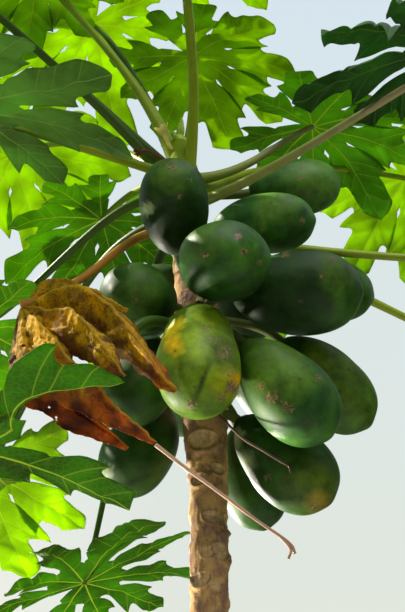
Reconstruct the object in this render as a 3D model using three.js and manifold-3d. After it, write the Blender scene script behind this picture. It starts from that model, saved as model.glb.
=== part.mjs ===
// A fruiting papaya tree: one leaning trunk, a cluster of heavy fruit and a crown of large lobed leaves.
// Millimetres, +Z up. The origin lies on the ground in the middle of the trunk's flat foot.
// A turn is counted in degrees round the trunk, from the side that faces -Y toward +X.
// A rise is counted in degrees above the horizontal.
import * as THREE from 'three'
import { mergeVertices } from 'three/addons/utils/BufferGeometryUtils.js'
import Module from 'manifold-3d'

const wasm = await Module()
wasm.setup()

// Clear gap between any two pieces, and the distance below which two points are one
const CLEAR = 0.3
const SAME_POINT = 1e-3

// Driving sizes of the trunk
const TIP_HEIGHT = 3338
const BEND_START = 2600
const BEND_LENGTH = 700
const BEND_SIDEWAYS = -50
const BEND_POWER = 1.5
const SWEEP_SIDEWAYS = 18
const SWEEP_HEIGHT = 2450
const LEAN_FORWARD = -120
const LEAN_HEIGHT = 3000
const LEAN_POWER = 1.6
const TRUNK_SIDES = 14
const RING_GAP = 150
const FOOT_GAP = 60
const ROOT_FLARES = 5
const FLARE_HEIGHT = 160
const FLARE_DEPTH = 0.3
const FLARE_EVEN = 0.7

// Radius of the trunk at some heights, from the foot to the tip
const TRUNK_RADII = [
  [0, 82], [300, 64], [900, 53], [1600, 40], [2200, 31], [2450, 29.5], [2650, 31.5], [2735, 37],
  [2950, 37], [3150, 34], [3280, 29], [TIP_HEIGHT, 22],
]

// Driving sizes of the fruit and its stalk
const FRUIT_SIDES = 11
const FRUIT_RINGS = 7
const FRUIT_FULLNESS = 2.2
const FRUIT_BELLY = 1.22
const STALK_RADIUS = 8
const STALK_SUNK = 12
const STALK_STEPS = 3
const STALK_SIDES = 5

// Each fruit: turn, height and reach of its neck from the trunk's centre line,
// turn and rise of the way it points, its length and its girth
const FRUIT = [
  { neck: [-19, 3050, 81], points: [-4, 26], length: 180, girth: 118 },
  { neck: [10, 2967, 121], points: [14, -14], length: 175, girth: 136 },
  { neck: [42, 3126, 60], points: [72, -8], length: 190, girth: 106 },
  { neck: [94, 3236, 117], points: [95, 12], length: 180, girth: 105 },
  { neck: [33, 2960, 103], points: [82, -3], length: 225, girth: 146 },
  { neck: [106, 3080, 131], points: [105, -4], length: 215, girth: 117 },
  { neck: [-1, 2896, 136], points: [0, -70], length: 240, girth: 133 },
  { neck: [24, 2836, 157], points: [95, -51], length: 218, girth: 131 },
  { neck: [88, 2921, 140], points: [105, -43], length: 215, girth: 124 },
  { neck: [72, 2765, 55], points: [92, -45], length: 215, girth: 132 },
  { neck: [145, 2805, 103], points: [130, -72], length: 190, girth: 112 },
  { neck: [-52, 2969, 66], points: [-35, -20], length: 160, girth: 119 },
  { neck: [-52, 2889, 69], points: [-60, -60], length: 190, girth: 119 },
  { neck: [-125, 2814, 78], points: [-68, -62], length: 190, girth: 123 },
  { neck: [152, 3119, 93], points: [150, -5], length: 200, girth: 124 },
  { neck: [-165, 3112, 81], points: [-145, -5], length: 200, girth: 124 },
  { neck: [149, 2998, 130], points: [135, -38], length: 200, girth: 120 },
  { neck: [-176, 3000, 120], points: [-174, -35], length: 200, girth: 122 },
  { neck: [-140, 2969, 91], points: [-128, -35], length: 200, girth: 119 },
]

// Driving sizes of a leaf's stalk
const LEAF_STALK_BASE = 9.5
const LEAF_STALK_END = 5.5
const LEAF_STALK_SIDES = 5
const LEAF_STALK_STEPS = 6
const LEAF_STALK_FLARE = 0.25
const LEAF_STALK_FLARE_FADE = 8
const BOW_SHARE = 0.35
const LAUNCH_LIFT = 22
const LAUNCH_STEEPEST = 62
const ARRIVE_DROP = 14

// Driving sizes of a leaf's blade: places along a lobe are shares of that lobe's length
const LOBES = 9
const LOBE_SPREAD = 150
const BLADE_THICK = 5.5
const LOBE_LENGTHS = [1, 0.97, 0.9, 0.8, 0.68]
const NOTCH_REACH = 0.31
const BACK_NOTCH = 0.1
const TOOTH_ALONG = 0.66
const TOOTH_OUT = 0.21
const SIDE_ALONG = 0.8
const SIDE_OUT = 0.13
const LOBE_VARIATION = 0.06
const VARIES_BY_LOBE = 2.1
const VARIES_BY_LEAF = 1.7
const POINTS_PER_LOBE = 6

// The low front leaf hangs on a stalk that falls by these points, between the fruit and the dead leaf
const LOW_STALK_BY = [[-104, -282, 2856], [-190, -288, 2752], [-285, -390, 2650]]

// Each leaf: turn, height and reach of the blade's centre from the trunk's centre line,
// height of the stalk's root, turn, fall and roll of the blade, length of its middle lobe, and its sag,
// with the turn and rise at which some stalks leave the trunk
const LEAVES = [
  { hub: [-52, 3182, 474], root: 3262, faces: [-15, 5, 0], span: 340, sag: 0.25, leaves: [-30, -25] },
  { hub: [-153, 3862, 291], root: 3285, faces: [-150, 12, 0], span: 240, sag: 0.15 },
  { hub: [160, 3712, 200], root: 3262, faces: [120, 8, 0], span: 240, sag: 0.2, leaves: [165, 50] },
  { hub: [115, 3486, 311], root: 3258, faces: [100, 5, 0], span: 250, sag: 0.2, leaves: [90, 5] },
  { hub: [52, 3240, 589], root: 3205, faces: [15, 12, 0], span: 340, sag: 0.3, leaves: [30, -30] },
  { hub: [124, 3513, 600], root: 3210, faces: [124, 25, 0], span: 260, sag: 0.25 },
  { hub: [-156, 3424, 391], root: 3245, faces: [-150, 10, 0], span: 230, sag: 0.2 },
  { hub: [-107, 3020, 419], root: 3190, faces: [-110, 15, 0], span: 270, sag: 0.2, leaves: [-40, 15] },
  { hub: [-134, 2881, 592], root: 3172, faces: [-150, 20, 0], span: 280, sag: 0.2, leaves: [-105, 10] },
  { hub: [-161, 2780, 780], root: 3200, faces: [60, -18, 5], span: 290, sag: 0.12, leaves: [-161, 14] },
  { hub: [-26, 2417, 665], root: 2932, faces: [-91, 6, 11], span: 321, sag: 0.15, by: LOW_STALK_BY },
  { hub: [100, 3860, 70], root: 3285, faces: [20, 3, 0], span: 280, sag: 0.2, leaves: [120, 75] },
  { hub: [-96, 3800, 230], root: 3275, faces: [-90, 14, 0], span: 260, sag: 0.2, leaves: [-60, 69] },
  { hub: [-72, 3673, 464], root: 3250, faces: [-60, 15, 0], span: 300, sag: 0.25, leaves: [-76, 45] },
  { hub: [93, 3090, 636], root: 3145, faces: [93, 14, 0], span: 290, sag: 0.2, leaves: [108, 0] },
  { hub: [113, 2975, 826], root: 3099, faces: [118, 30, 0], span: 300, sag: 0.3, leaves: [120, 21] },
  { hub: [-104, 4005, 340], root: 3240, faces: [-120, 15, 0], span: 260, sag: 0.2, leaves: [-55, 70] },
  { hub: [-150, 3780, 700], root: 3195, faces: [-150, 20, 0], span: 290, sag: 0.25 },
  { hub: [-47, 3500, 745], root: 3207, faces: [-45, 20, 0], span: 320, sag: 0.25, leaves: [-95, 60] },
  { hub: [5, 3741, 420], root: 3229, faces: [5, 15, 0], span: 300, sag: 0.25, leaves: [30, 68] },
  { hub: [126, 3126, 1030], root: 3126, faces: [128, 25, 0], span: 320, sag: 0.3, leaves: [126, 16] },
  { hub: [178, 3330, 640], root: 3120, faces: [178, 6, 0], span: 300, sag: 0.2 },
]

// The dead leaf: its stalk, then its folded lobes as offsets of middle and tip from the blade's centre
const DEAD_HUB = [-297, -340, 2848]
const DEAD_ROOT = 3150
const DEAD_LAUNCH = [-60, -15]
const DEAD_ARRIVE = [-90, -20]
const DEAD_STALK_BASE = 9
const DEAD_STALK_END = 6
const DEAD_KNOT = 16
const DEAD_THICK = 6
const DEAD_STEPS = 5
const DEAD_FOLD = 0.7
const DEAD_RIDGE_DEPTH = 1.2
const DEAD_NECK = 0.25
const DEAD_SWELL = 1.1
const DEAD_SWELL_POWER = 0.8
const DEAD_TIP_TAPER = 0.6
const DEAD_TIP_POWER = 6
const DEAD_FACES = [-0.3, -0.7, 0.6]
const DEAD_LOBES = [
  { middle: [63, -10, 53], tip: [168, 20, 7], width: 50 },
  { middle: [113, -50, -5], tip: [248, -50, -180], width: 62 },
  { middle: [95, -80, -66], tip: [172, -80, -173], width: 46 },
  { middle: [67, -80, -111], tip: [217, 0, -242], width: 54 },
  { middle: [41, -40, -122], tip: [178, 20, -243], width: 54 },
  { middle: [13, -50, -92], tip: [44, -80, -175], width: 40 },
]

// The two dry stalks, each as a path from its root
const LONG_STALK = [
  [-80, -340, 2603], [-36, -312, 2579], [9, -292, 2553], [68, -280, 2510], [117, -272, 2476], [127, -270, 2459],
]
const THIN_STALK = [
  [8, -120, 2770], [16, -165, 2749], [37, -205, 2703], [57, -235, 2666], [83, -245, 2643], [103, -245, 2629],
  [123, -240, 2618], [127, -240, 2606],
]
const LONG_STALK_RADII = [5, 3]
const THIN_STALK_RADII = [3.2, 2]
const DRY_STALK_STEPS = 8
const DRY_STALK_SIDES = 6

// The flowers: root height, place of the mouth, turn and rise of the way it opens, and its sizes
const OPEN_FLOWER = { root: 3312, mouth: [-80, -184, 3332], opens: [-25, 20], stem: 2.2, petal: 17, width: 11 }
const OLD_FLOWER = { root: 3284, mouth: [-125, -176, 3296], opens: [-70, -30], stem: 2, petal: 12, width: 7 }
const PETALS = 5
const PETAL_THICK = 1.6
const PETAL_ARCH = 0.5
const PETAL_DROP = 0.25
const PETAL_REACH = 0.9
const PETAL_TAPER = 0.75
const PETAL_SUNK = 1
const NECK_SWELL = 1.3
const STEM_STEPS = 3
const STEM_SIDES = 5
const STEM_SAG = 4
const STEM_BEND_AT = 0.6

// The growing tip: its dome, then turn, rise, length and radius of the young folded leaves on it
const DOME_RADIUS = 17
const DOME_HEIGHT = 24
const DOME_SIDES = 9
const DOME_BLUNT = 0.02
const YOUNG_LEAF_SIDES = 5
const YOUNG_LEAF_TAPER = 0.35
const YOUNG_LEAVES = [[30, 80, 62, 6], [-160, 72, 48, 5.5], [-80, 65, 38, 5]]

const UP = new THREE.Vector3(0, 0, 1)
const radians = THREE.MathUtils.degToRad
const mix = THREE.MathUtils.lerp

function heading(turn, rise) {
  const t = radians(turn)
  const r = radians(rise)
  return new THREE.Vector3(Math.sin(t) * Math.cos(r), -Math.cos(t) * Math.cos(r), Math.sin(r))
}

// Centre line and radius of the trunk

function trunkAxis(height) {
  const high = Math.max(0, (height - BEND_START) / BEND_LENGTH)
  const sweep = height < SWEEP_HEIGHT ? SWEEP_SIDEWAYS * Math.sin(Math.PI * height / SWEEP_HEIGHT) : 0
  const x = BEND_SIDEWAYS * high ** BEND_POWER + sweep
  const y = LEAN_FORWARD * (height / LEAN_HEIGHT) ** LEAN_POWER
  return new THREE.Vector3(x, y, height)
}

function trunkRadius(height) {
  const next = TRUNK_RADII.findIndex(([h]) => h >= height)
  if (next <= 0) return TRUNK_RADII[0][1]
  const [h0, r0] = TRUNK_RADII[next - 1]
  const [h1, r1] = TRUNK_RADII[next]
  return mix(r0, r1, (height - h0) / (h1 - h0))
}

function roundTrunk([turn, height, reach]) {
  return trunkAxis(height).addScaledVector(heading(turn, 0), reach)
}

// A closed skin over a run of rings, each with the same number of points, capped at both ends

function skin(rings, firstCap, lastCap) {
  const sides = rings[0].length
  const positions = rings.flat().flatMap((p) => [p.x, p.y, p.z])
  const first = rings.length * sides
  positions.push(firstCap.x, firstCap.y, firstCap.z, lastCap.x, lastCap.y, lastCap.z)
  const faces = []
  for (let k = 0; k < sides; k++) {
    const next = (k + 1) % sides
    const last = (rings.length - 1) * sides
    faces.push(first, next, k)
    faces.push(first + 1, last + k, last + next)
    for (let ring = 0; ring < rings.length - 1; ring++) {
      const a = ring * sides
      const b = a + sides
      faces.push(a + k, a + next, b + next, a + k, b + next, b + k)
    }
  }
  const geometry = new THREE.BufferGeometry()
  geometry.setAttribute('position', new THREE.Float32BufferAttribute(positions, 3))
  geometry.setIndex(faces)
  return geometry
}

// A round tube along a curve, with a radius worked out from the share of the length

function tube(curve, steps, sides, radiusAt) {
  const rings = []
  const frames = curve.computeFrenetFrames(steps, false)
  for (let step = 0; step <= steps; step++) {
    const centre = curve.getPointAt(step / steps)
    const radius = radiusAt(step / steps)
    const ring = []
    for (let k = 0; k < sides; k++) {
      const angle = 2 * Math.PI * k / sides
      const point = centre.clone()
      point.addScaledVector(frames.normals[step], radius * Math.cos(angle))
      point.addScaledVector(frames.binormals[step], radius * Math.sin(angle))
      ring.push(point)
    }
    rings.push(ring)
  }
  return skin(rings, curve.getPointAt(0), curve.getPointAt(1))
}

function pathOf(points) {
  return new THREE.CatmullRomCurve3(points.map((p) => new THREE.Vector3(...p)))
}

// Solids for joining and cutting

function solid(geometry) {
  const plain = new THREE.BufferGeometry()
  plain.setAttribute('position', geometry.getAttribute('position').clone())
  plain.setIndex(geometry.index)
  const merged = mergeVertices(plain, SAME_POINT)
  return new wasm.Manifold(new wasm.Mesh({
    numProp: 3,
    vertProperties: new Float32Array(merged.getAttribute('position').array),
    triVerts: new Uint32Array(merged.index.array),
  }))
}

function shapeOf(manifold) {
  const mesh = manifold.getMesh()
  const geometry = new THREE.BufferGeometry()
  geometry.setAttribute('position', new THREE.Float32BufferAttribute(mesh.vertProperties, 3))
  geometry.setIndex(Array.from(mesh.triVerts))
  return geometry
}

function largestPiece(manifold) {
  return manifold.decompose().sort((a, b) => b.volume() - a.volume())[0]
}

function clearOf(shape, rooms) {
  return rooms.reduce((left, room) => left.subtract(room), shape)
}

// The trunk: rings up the centre line, with root flares that fade out above the foot

function ringHeights() {
  const heights = [0]
  for (let k = 1; k < TRUNK_RADII.length; k++) {
    const [low] = TRUNK_RADII[k - 1]
    const [high] = TRUNK_RADII[k]
    const steps = Math.ceil((high - low) / (k === 1 ? FOOT_GAP : RING_GAP))
    for (let step = 1; step <= steps; step++) heights.push(mix(low, high, step / steps))
  }
  return heights
}

function trunkShape(extra) {
  const rings = ringHeights().map((height) => {
    const centre = trunkAxis(height)
    const flare = FLARE_DEPTH * Math.exp(-height / FLARE_HEIGHT)
    const ring = []
    for (let k = 0; k < TRUNK_SIDES; k++) {
      const angle = 2 * Math.PI * k / TRUNK_SIDES
      const swell = 1 + flare * (FLARE_EVEN + (1 - FLARE_EVEN) * Math.cos(ROOT_FLARES * angle))
      const radius = trunkRadius(height) * swell + extra
      ring.push(centre.clone().add(new THREE.Vector3(radius * Math.cos(angle), radius * Math.sin(angle), 0)))
    }
    return ring
  })
  const top = trunkAxis(TIP_HEIGHT).addScaledVector(UP, extra)
  return skin(rings, trunkAxis(0), top)
}

const trunkRoom = solid(trunkShape(CLEAR / Math.cos(Math.PI / TRUNK_SIDES)))

// One fruit with its stalk, which ends just clear of the trunk

function fruitRadius(share, girth) {
  const place = share ** FRUIT_BELLY
  return girth / 2 * Math.sqrt(Math.max(0, 1 - Math.abs(2 * place - 1) ** FRUIT_FULLNESS))
}

function fruitShape({ neck, points, length, girth }) {
  const start = roundTrunk(neck)
  const along = heading(...points)
  const across = new THREE.Vector3().crossVectors(along, UP).normalize()
  const third = new THREE.Vector3().crossVectors(along, across)
  const rings = []
  for (let ring = 1; ring <= FRUIT_RINGS; ring++) {
    const share = (1 - Math.cos(Math.PI * ring / (FRUIT_RINGS + 1))) / 2
    const radius = fruitRadius(share, girth)
    const centre = start.clone().addScaledVector(along, length * share)
    const circle = []
    for (let k = 0; k < FRUIT_SIDES; k++) {
      const angle = 2 * Math.PI * k / FRUIT_SIDES
      const point = centre.clone()
      point.addScaledVector(across, radius * Math.cos(angle))
      point.addScaledVector(third, radius * Math.sin(angle))
      circle.push(point)
    }
    rings.push(circle)
  }
  const end = start.clone().addScaledVector(along, length)
  const flesh = solid(skin(rings, start, end))
  const sunk = start.clone().addScaledVector(along, STALK_SUNK)
  const behind = start.clone().addScaledVector(along, -neck[2] / 3)
  const root = trunkAxis(start.z - along.z * neck[2] / 2)
  const curve = new THREE.QuadraticBezierCurve3(sunk, behind, root)
  const stalk = solid(tube(curve, STALK_STEPS, STALK_SIDES, () => STALK_RADIUS))
  return shapeOf(largestPiece(flesh.add(stalk).subtract(trunkRoom)))
}

// One leaf: a stalk that springs from the trunk and a lobed blade on its end

function stalkCurve(root, hub, launch, arrive) {
  const length = root.distanceTo(hub)
  const first = root.clone().addScaledVector(launch, length * BOW_SHARE)
  const second = hub.clone().addScaledVector(arrive, -length * BOW_SHARE)
  return new THREE.CubicBezierCurve3(root, first, second, hub)
}

function leafStalk({ hub, root, leaves, by }, extra) {
  const start = trunkAxis(root)
  const end = roundTrunk(hub)
  const way = end.clone().sub(start).normalize()
  const rise = THREE.MathUtils.radToDeg(Math.asin(way.z))
  const launch = heading(...(leaves ?? [hub[0], Math.min(rise + LAUNCH_LIFT, LAUNCH_STEEPEST)]))
  const arrive = leaves ? way : heading(hub[0], rise - ARRIVE_DROP)
  const bow = stalkCurve(start, end, launch, arrive)
  const curve = by ? pathOf([start.toArray(), ...by, end.toArray()]) : bow
  return tube(curve, LEAF_STALK_STEPS, LEAF_STALK_SIDES, (share) => {
    const flare = 1 + LEAF_STALK_FLARE * Math.exp(-share * LEAF_STALK_FLARE_FADE)
    return mix(LEAF_STALK_BASE, LEAF_STALK_END, share) * flare + extra
  })
}

// Outline of a blade round its centre, as flat points, with the triangles that fill one face

function bladeOutline(span, index) {
  const points = [new THREE.Vector2(0, 0)]
  const faces = []
  const step = 2 * LOBE_SPREAD / (LOBES - 1)
  const middle = (LOBES - 1) / 2
  const lengthOf = (lobe) => {
    const change = LOBE_VARIATION * Math.sin(VARIES_BY_LOBE * lobe + VARIES_BY_LEAF * index)
    return span * LOBE_LENGTHS[Math.abs(lobe - middle)] * (1 + change)
  }
  const place = (angle, along, out) => {
    points.push(new THREE.Vector2(along, out).rotateAround(points[0], radians(angle)))
  }
  place(180, span * BACK_NOTCH, 0)
  for (let lobe = 0; lobe < LOBES; lobe++) {
    const angle = -LOBE_SPREAD + lobe * step
    const length = lengthOf(lobe)
    const last = lobe === LOBES - 1
    place(angle, length * TOOTH_ALONG, -length * TOOTH_OUT)
    place(angle, length * SIDE_ALONG, -length * SIDE_OUT)
    place(angle, length, 0)
    place(angle, length * SIDE_ALONG, length * SIDE_OUT)
    place(angle, length * TOOTH_ALONG, length * TOOTH_OUT)
    if (!last) place(angle + step / 2, NOTCH_REACH * (length + lengthOf(lobe + 1)) / 2, 0)
    const before = 1 + lobe * POINTS_PER_LOBE
    const after = last ? 1 : before + POINTS_PER_LOBE
    const [tooth, side, tip, otherSide, otherTooth] = [1, 2, 3, 4, 5].map((n) => before + n)
    faces.push([0, before, after], [before, tooth, side], [before, side, otherSide])
    faces.push([before, otherSide, after], [side, tip, otherSide], [after, otherSide, otherTooth])
  }
  return { points, faces }
}

function bladeShape({ hub, faces: [turn, fall, roll], span, sag }, index) {
  const centre = roundTrunk(hub)
  const forward = heading(turn, -fall)
  const side = heading(turn + 90, 0).applyAxisAngle(forward, radians(roll))
  const normal = new THREE.Vector3().crossVectors(forward, side)
  const turned = normal.z < 0
  if (turned) normal.negate()
  const { points, faces } = bladeOutline(span, index)
  const positions = []
  for (const lift of [BLADE_THICK / 2, -BLADE_THICK / 2]) {
    for (const p of points) {
      const drop = sag * p.lengthSq() / span
      const place = centre.clone().addScaledVector(forward, p.x).addScaledVector(side, p.y)
      place.addScaledVector(normal, lift - drop)
      positions.push(place.x, place.y, place.z)
    }
  }
  const count = points.length
  const triangles = []
  for (const [a, b, c] of faces) triangles.push([a, b, c], [c + count, b + count, a + count])
  for (let k = 1; k < count; k++) {
    const next = k === count - 1 ? 1 : k + 1
    triangles.push([k, k + count, next + count], [k, next + count, next])
  }
  const geometry = new THREE.BufferGeometry()
  geometry.setAttribute('position', new THREE.Float32BufferAttribute(positions, 3))
  geometry.setIndex(triangles.flatMap(([a, b, c]) => turned ? [a, c, b] : [a, b, c]))
  return geometry
}

// A stalk keeps clear of the stalks of the leaves before it, and a blade keeps clear of every other stalk

const stalkRooms = LEAVES.map((leaf) => solid(leafStalk(leaf, CLEAR / Math.cos(Math.PI / LEAF_STALK_SIDES))))

function leafShape(leaf, index) {
  const stalk = clearOf(solid(leafStalk(leaf, 0)), stalkRooms.slice(0, index))
  const others = stalkRooms.filter((room, other) => other !== index)
  const blade = clearOf(solid(bladeShape(leaf, index)), others)
  return shapeOf(largestPiece(stalk.add(blade).subtract(trunkRoom)))
}

// A dead lobe hangs as a folded gutter that narrows to its tip

function deadLobe(hub, { middle, tip, width }) {
  const points = [new THREE.Vector3(), new THREE.Vector3(...middle), new THREE.Vector3(...tip)]
  const curve = new THREE.CatmullRomCurve3(points.map((p) => p.add(hub)))
  const outward = new THREE.Vector3(...DEAD_FACES)
  const rings = []
  for (let step = 0; step <= DEAD_STEPS; step++) {
    const share = step / DEAD_STEPS
    const centre = curve.getPointAt(share)
    const along = curve.getTangentAt(share)
    const across = new THREE.Vector3().crossVectors(along, outward).normalize()
    const ridge = new THREE.Vector3().crossVectors(across, along).normalize()
    const arch = Math.max(0, Math.sin(Math.PI * share ** DEAD_SWELL_POWER))
    const swell = DEAD_NECK + DEAD_SWELL * arch ** DEAD_SWELL_POWER
    const half = width / 2 * swell * (1 - DEAD_TIP_TAPER * share ** DEAD_TIP_POWER)
    const fall = half * DEAD_FOLD
    const place = (out, up) => centre.clone().addScaledVector(across, out).addScaledVector(ridge, up)
    rings.push([
      place(-half, -fall), place(0, 0), place(half, -fall),
      place(half, -fall - DEAD_THICK), place(0, -DEAD_THICK * DEAD_RIDGE_DEPTH), place(-half, -fall - DEAD_THICK),
    ])
  }
  const inner = (ring) => ring[4].clone().lerp(ring[1], 0.5)
  return skin(rings, inner(rings[0]), inner(rings[DEAD_STEPS]))
}

function deadLeafShape() {
  const hub = new THREE.Vector3(...DEAD_HUB)
  const curve = stalkCurve(trunkAxis(DEAD_ROOT), hub, heading(...DEAD_LAUNCH), heading(...DEAD_ARRIVE))
  const radiusAt = (share) => mix(DEAD_STALK_BASE, DEAD_STALK_END, share)
  const knot = new THREE.IcosahedronGeometry(DEAD_KNOT, 0).translate(...DEAD_HUB)
  knot.deleteAttribute('normal')
  knot.deleteAttribute('uv')
  let whole = solid(tube(curve, LEAF_STALK_STEPS, LEAF_STALK_SIDES, radiusAt))
  whole = whole.add(solid(mergeVertices(knot, SAME_POINT)))
  for (const lobe of DEAD_LOBES) whole = whole.add(solid(deadLobe(hub, lobe)))
  return shapeOf(largestPiece(clearOf(whole, stalkRooms).subtract(trunkRoom)))
}

// A flower: a stem, a trumpet and five petals round its mouth

function petalShape(end, way, out, petal, width) {
  const across = new THREE.Vector3().crossVectors(way, out)
  const rings = [0, 0.5, 1].map((share) => {
    const lift = petal * (PETAL_ARCH * Math.sin(Math.PI * share) - PETAL_DROP * share) - PETAL_SUNK
    const centre = end.clone().addScaledVector(out, petal * share * PETAL_REACH).addScaledVector(way, lift)
    const half = width / 2 * (1 - PETAL_TAPER * share ** 3)
    return [
      centre.clone().addScaledVector(across, half), centre.clone().addScaledVector(way, PETAL_THICK / 2),
      centre.clone().addScaledVector(across, -half), centre.clone().addScaledVector(way, -PETAL_THICK / 2),
    ]
  })
  const inner = (ring) => ring[1].clone().lerp(ring[3], 0.5)
  return skin(rings, inner(rings[0]), inner(rings[2]))
}

function flowerShape({ root, mouth, opens, stem, petal, width }) {
  const start = trunkAxis(root)
  const end = new THREE.Vector3(...mouth)
  const way = heading(...opens)
  const neck = end.clone().addScaledVector(way, -petal)
  const bend = start.clone().lerp(neck, STEM_BEND_AT).addScaledVector(UP, -STEM_SAG)
  const stemCurve = new THREE.CatmullRomCurve3([start, bend, neck])
  const trumpetCurve = new THREE.LineCurve3(neck.clone().addScaledVector(way, -stem), end)
  const trumpetRadius = (share) => mix(stem * NECK_SWELL, width / 2, share)
  let whole = solid(tube(stemCurve, STEM_STEPS, STEM_SIDES, () => stem))
  whole = whole.add(solid(tube(trumpetCurve, 1, STEM_SIDES, trumpetRadius)))
  const side = new THREE.Vector3().crossVectors(way, UP).normalize()
  for (let k = 0; k < PETALS; k++) {
    const out = side.clone().applyAxisAngle(way, 2 * Math.PI * k / PETALS)
    whole = whole.add(solid(petalShape(end, way, out, petal, width)))
  }
  return shapeOf(largestPiece(clearOf(whole, stalkRooms).subtract(trunkRoom)))
}

// The growing tip: a dome with young folded leaves standing on it

function growingTipShape() {
  const foot = trunkAxis(TIP_HEIGHT)
  const low = foot.clone().addScaledVector(UP, -DOME_HEIGHT)
  const high = foot.clone().addScaledVector(UP, DOME_HEIGHT)
  const domeRadius = (share) => DOME_RADIUS * Math.sqrt(Math.max(DOME_BLUNT, 1 - (2 * share - 1) ** 2))
  let whole = solid(tube(new THREE.LineCurve3(low, high), 4, DOME_SIDES, domeRadius))
  for (const [turn, rise, length, radius] of YOUNG_LEAVES) {
    const curve = new THREE.LineCurve3(foot, foot.clone().addScaledVector(heading(turn, rise), length))
    const radiusAt = (share) => radius * mix(YOUNG_LEAF_TAPER, 1, Math.sin(Math.PI * share) ** 2)
    whole = whole.add(solid(tube(curve, 4, YOUNG_LEAF_SIDES, radiusAt)))
  }
  const above = whole.trimByPlane([0, 0, 1], foot.z + CLEAR)
  return shapeOf(largestPiece(clearOf(above, stalkRooms)))
}

// Materials

const looks = {
  bark: new THREE.MeshStandardMaterial({ color: 0x8a7a62, roughness: 0.9, metalness: 0 }),
  fruit: new THREE.MeshStandardMaterial({ color: 0x2f4a22, roughness: 0.45, metalness: 0 }),
  leaf: new THREE.MeshStandardMaterial({ color: 0x4f8a1c, roughness: 0.6, metalness: 0 }),
  youngLeaf: new THREE.MeshStandardMaterial({ color: 0x7fae3c, roughness: 0.6, metalness: 0 }),
  deadLeaf: new THREE.MeshStandardMaterial({ color: 0x9a6a1c, roughness: 0.85, metalness: 0 }),
  dryStalk: new THREE.MeshStandardMaterial({ color: 0xa88b6a, roughness: 0.85, metalness: 0 }),
  flower: new THREE.MeshStandardMaterial({ color: 0xe8e0a8, roughness: 0.6, metalness: 0 }),
}

// Assembly

const tree = new THREE.Group()

function addPiece(name, geometry, material) {
  const mesh = new THREE.Mesh(geometry, material)
  mesh.name = name
  tree.add(mesh)
}

const numbered = (word, index) => `${word}_${String(index + 1).padStart(2, '0')}`

function dryStalk(points, [first, last]) {
  return tube(pathOf(points), DRY_STALK_STEPS, DRY_STALK_SIDES, (share) => mix(first, last, share))
}

addPiece('trunk', trunkShape(0), looks.bark)
FRUIT.forEach((fruit, index) => addPiece(numbered('fruit', index), fruitShape(fruit), looks.fruit))
LEAVES.forEach((leaf, index) => addPiece(numbered('leaf', index), leafShape(leaf, index), looks.leaf))
addPiece('dead_leaf', deadLeafShape(), looks.deadLeaf)
addPiece('dry_stalk_long', dryStalk(LONG_STALK, LONG_STALK_RADII), looks.dryStalk)
const thinStalk = solid(dryStalk(THIN_STALK, THIN_STALK_RADII)).subtract(trunkRoom)
addPiece('dry_stalk_thin', shapeOf(largestPiece(thinStalk)), looks.dryStalk)
addPiece('growing_tip', growingTipShape(), looks.youngLeaf)
addPiece('open_flower', flowerShape(OPEN_FLOWER), looks.flower)
addPiece('withered_flower', flowerShape(OLD_FLOWER), looks.deadLeaf)

export default tree
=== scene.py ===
# %% [markdown]
# # A fruiting papaya tree
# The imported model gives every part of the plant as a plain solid. This lesson dresses each of them:
# a trunk with leaf scars, waxy fruit, thin lobed leaves that let the light through, and what has dried.
# Sizes of the plant are in millimetres and turn into metres when a mesh is made. The camera and the
# lamps are placed in metres, as Blender has it.

import itertools
import math

import bpy
import numpy as np
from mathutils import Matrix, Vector


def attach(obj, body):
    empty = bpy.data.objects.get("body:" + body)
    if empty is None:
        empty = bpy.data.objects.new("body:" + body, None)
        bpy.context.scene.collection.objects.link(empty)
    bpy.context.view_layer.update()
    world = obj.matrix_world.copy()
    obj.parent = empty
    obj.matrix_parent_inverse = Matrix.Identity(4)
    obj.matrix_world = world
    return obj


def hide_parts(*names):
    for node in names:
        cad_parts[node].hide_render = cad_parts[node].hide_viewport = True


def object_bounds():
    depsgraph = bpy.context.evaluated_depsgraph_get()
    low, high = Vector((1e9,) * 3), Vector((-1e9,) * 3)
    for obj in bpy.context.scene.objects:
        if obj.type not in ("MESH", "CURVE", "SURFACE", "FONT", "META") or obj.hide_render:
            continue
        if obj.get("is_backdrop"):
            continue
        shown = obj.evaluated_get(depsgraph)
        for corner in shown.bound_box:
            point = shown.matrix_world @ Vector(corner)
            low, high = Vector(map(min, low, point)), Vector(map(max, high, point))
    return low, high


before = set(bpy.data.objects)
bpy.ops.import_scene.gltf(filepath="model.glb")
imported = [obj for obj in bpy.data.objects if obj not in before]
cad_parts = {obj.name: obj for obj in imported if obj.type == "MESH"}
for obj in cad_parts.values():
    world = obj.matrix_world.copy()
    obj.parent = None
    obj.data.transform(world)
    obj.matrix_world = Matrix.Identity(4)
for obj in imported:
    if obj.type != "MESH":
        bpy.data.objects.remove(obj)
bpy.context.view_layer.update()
print("packed nodes:", len(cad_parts))

# %% [markdown]
# ## The camera
# The photograph was taken by somebody who stood in front of the tree and looked up at the fruit.
# The lens is long, so the fruit keep their shape. The long side of the picture sets the angle of view.

# %% Camera at the photograph's viewing angle
PHOTO_WIDE, PHOTO_TALL = 405, 612
FOCAL_PIXELS = 1450
SENSOR = 36
EYE = (-0.010, -2.2667, 1.5984)
LOOK_UP = math.radians(33)


def new_object(name, data):
    """An object at the origin, put into the scene."""
    made = bpy.data.objects.new(name, data)
    bpy.context.scene.collection.objects.link(made)
    return made


camera = bpy.data.cameras.new("photo_camera")
camera.sensor_width = SENSOR
camera.lens = FOCAL_PIXELS / PHOTO_TALL * SENSOR
camera_object = new_object("photo_camera", camera)
camera_object.location = EYE
camera_object.rotation_euler = (math.pi / 2 + LOOK_UP, 0, 0)
bpy.context.scene.camera = camera_object
print("lens", round(camera.lens, 1), "mm")

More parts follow.
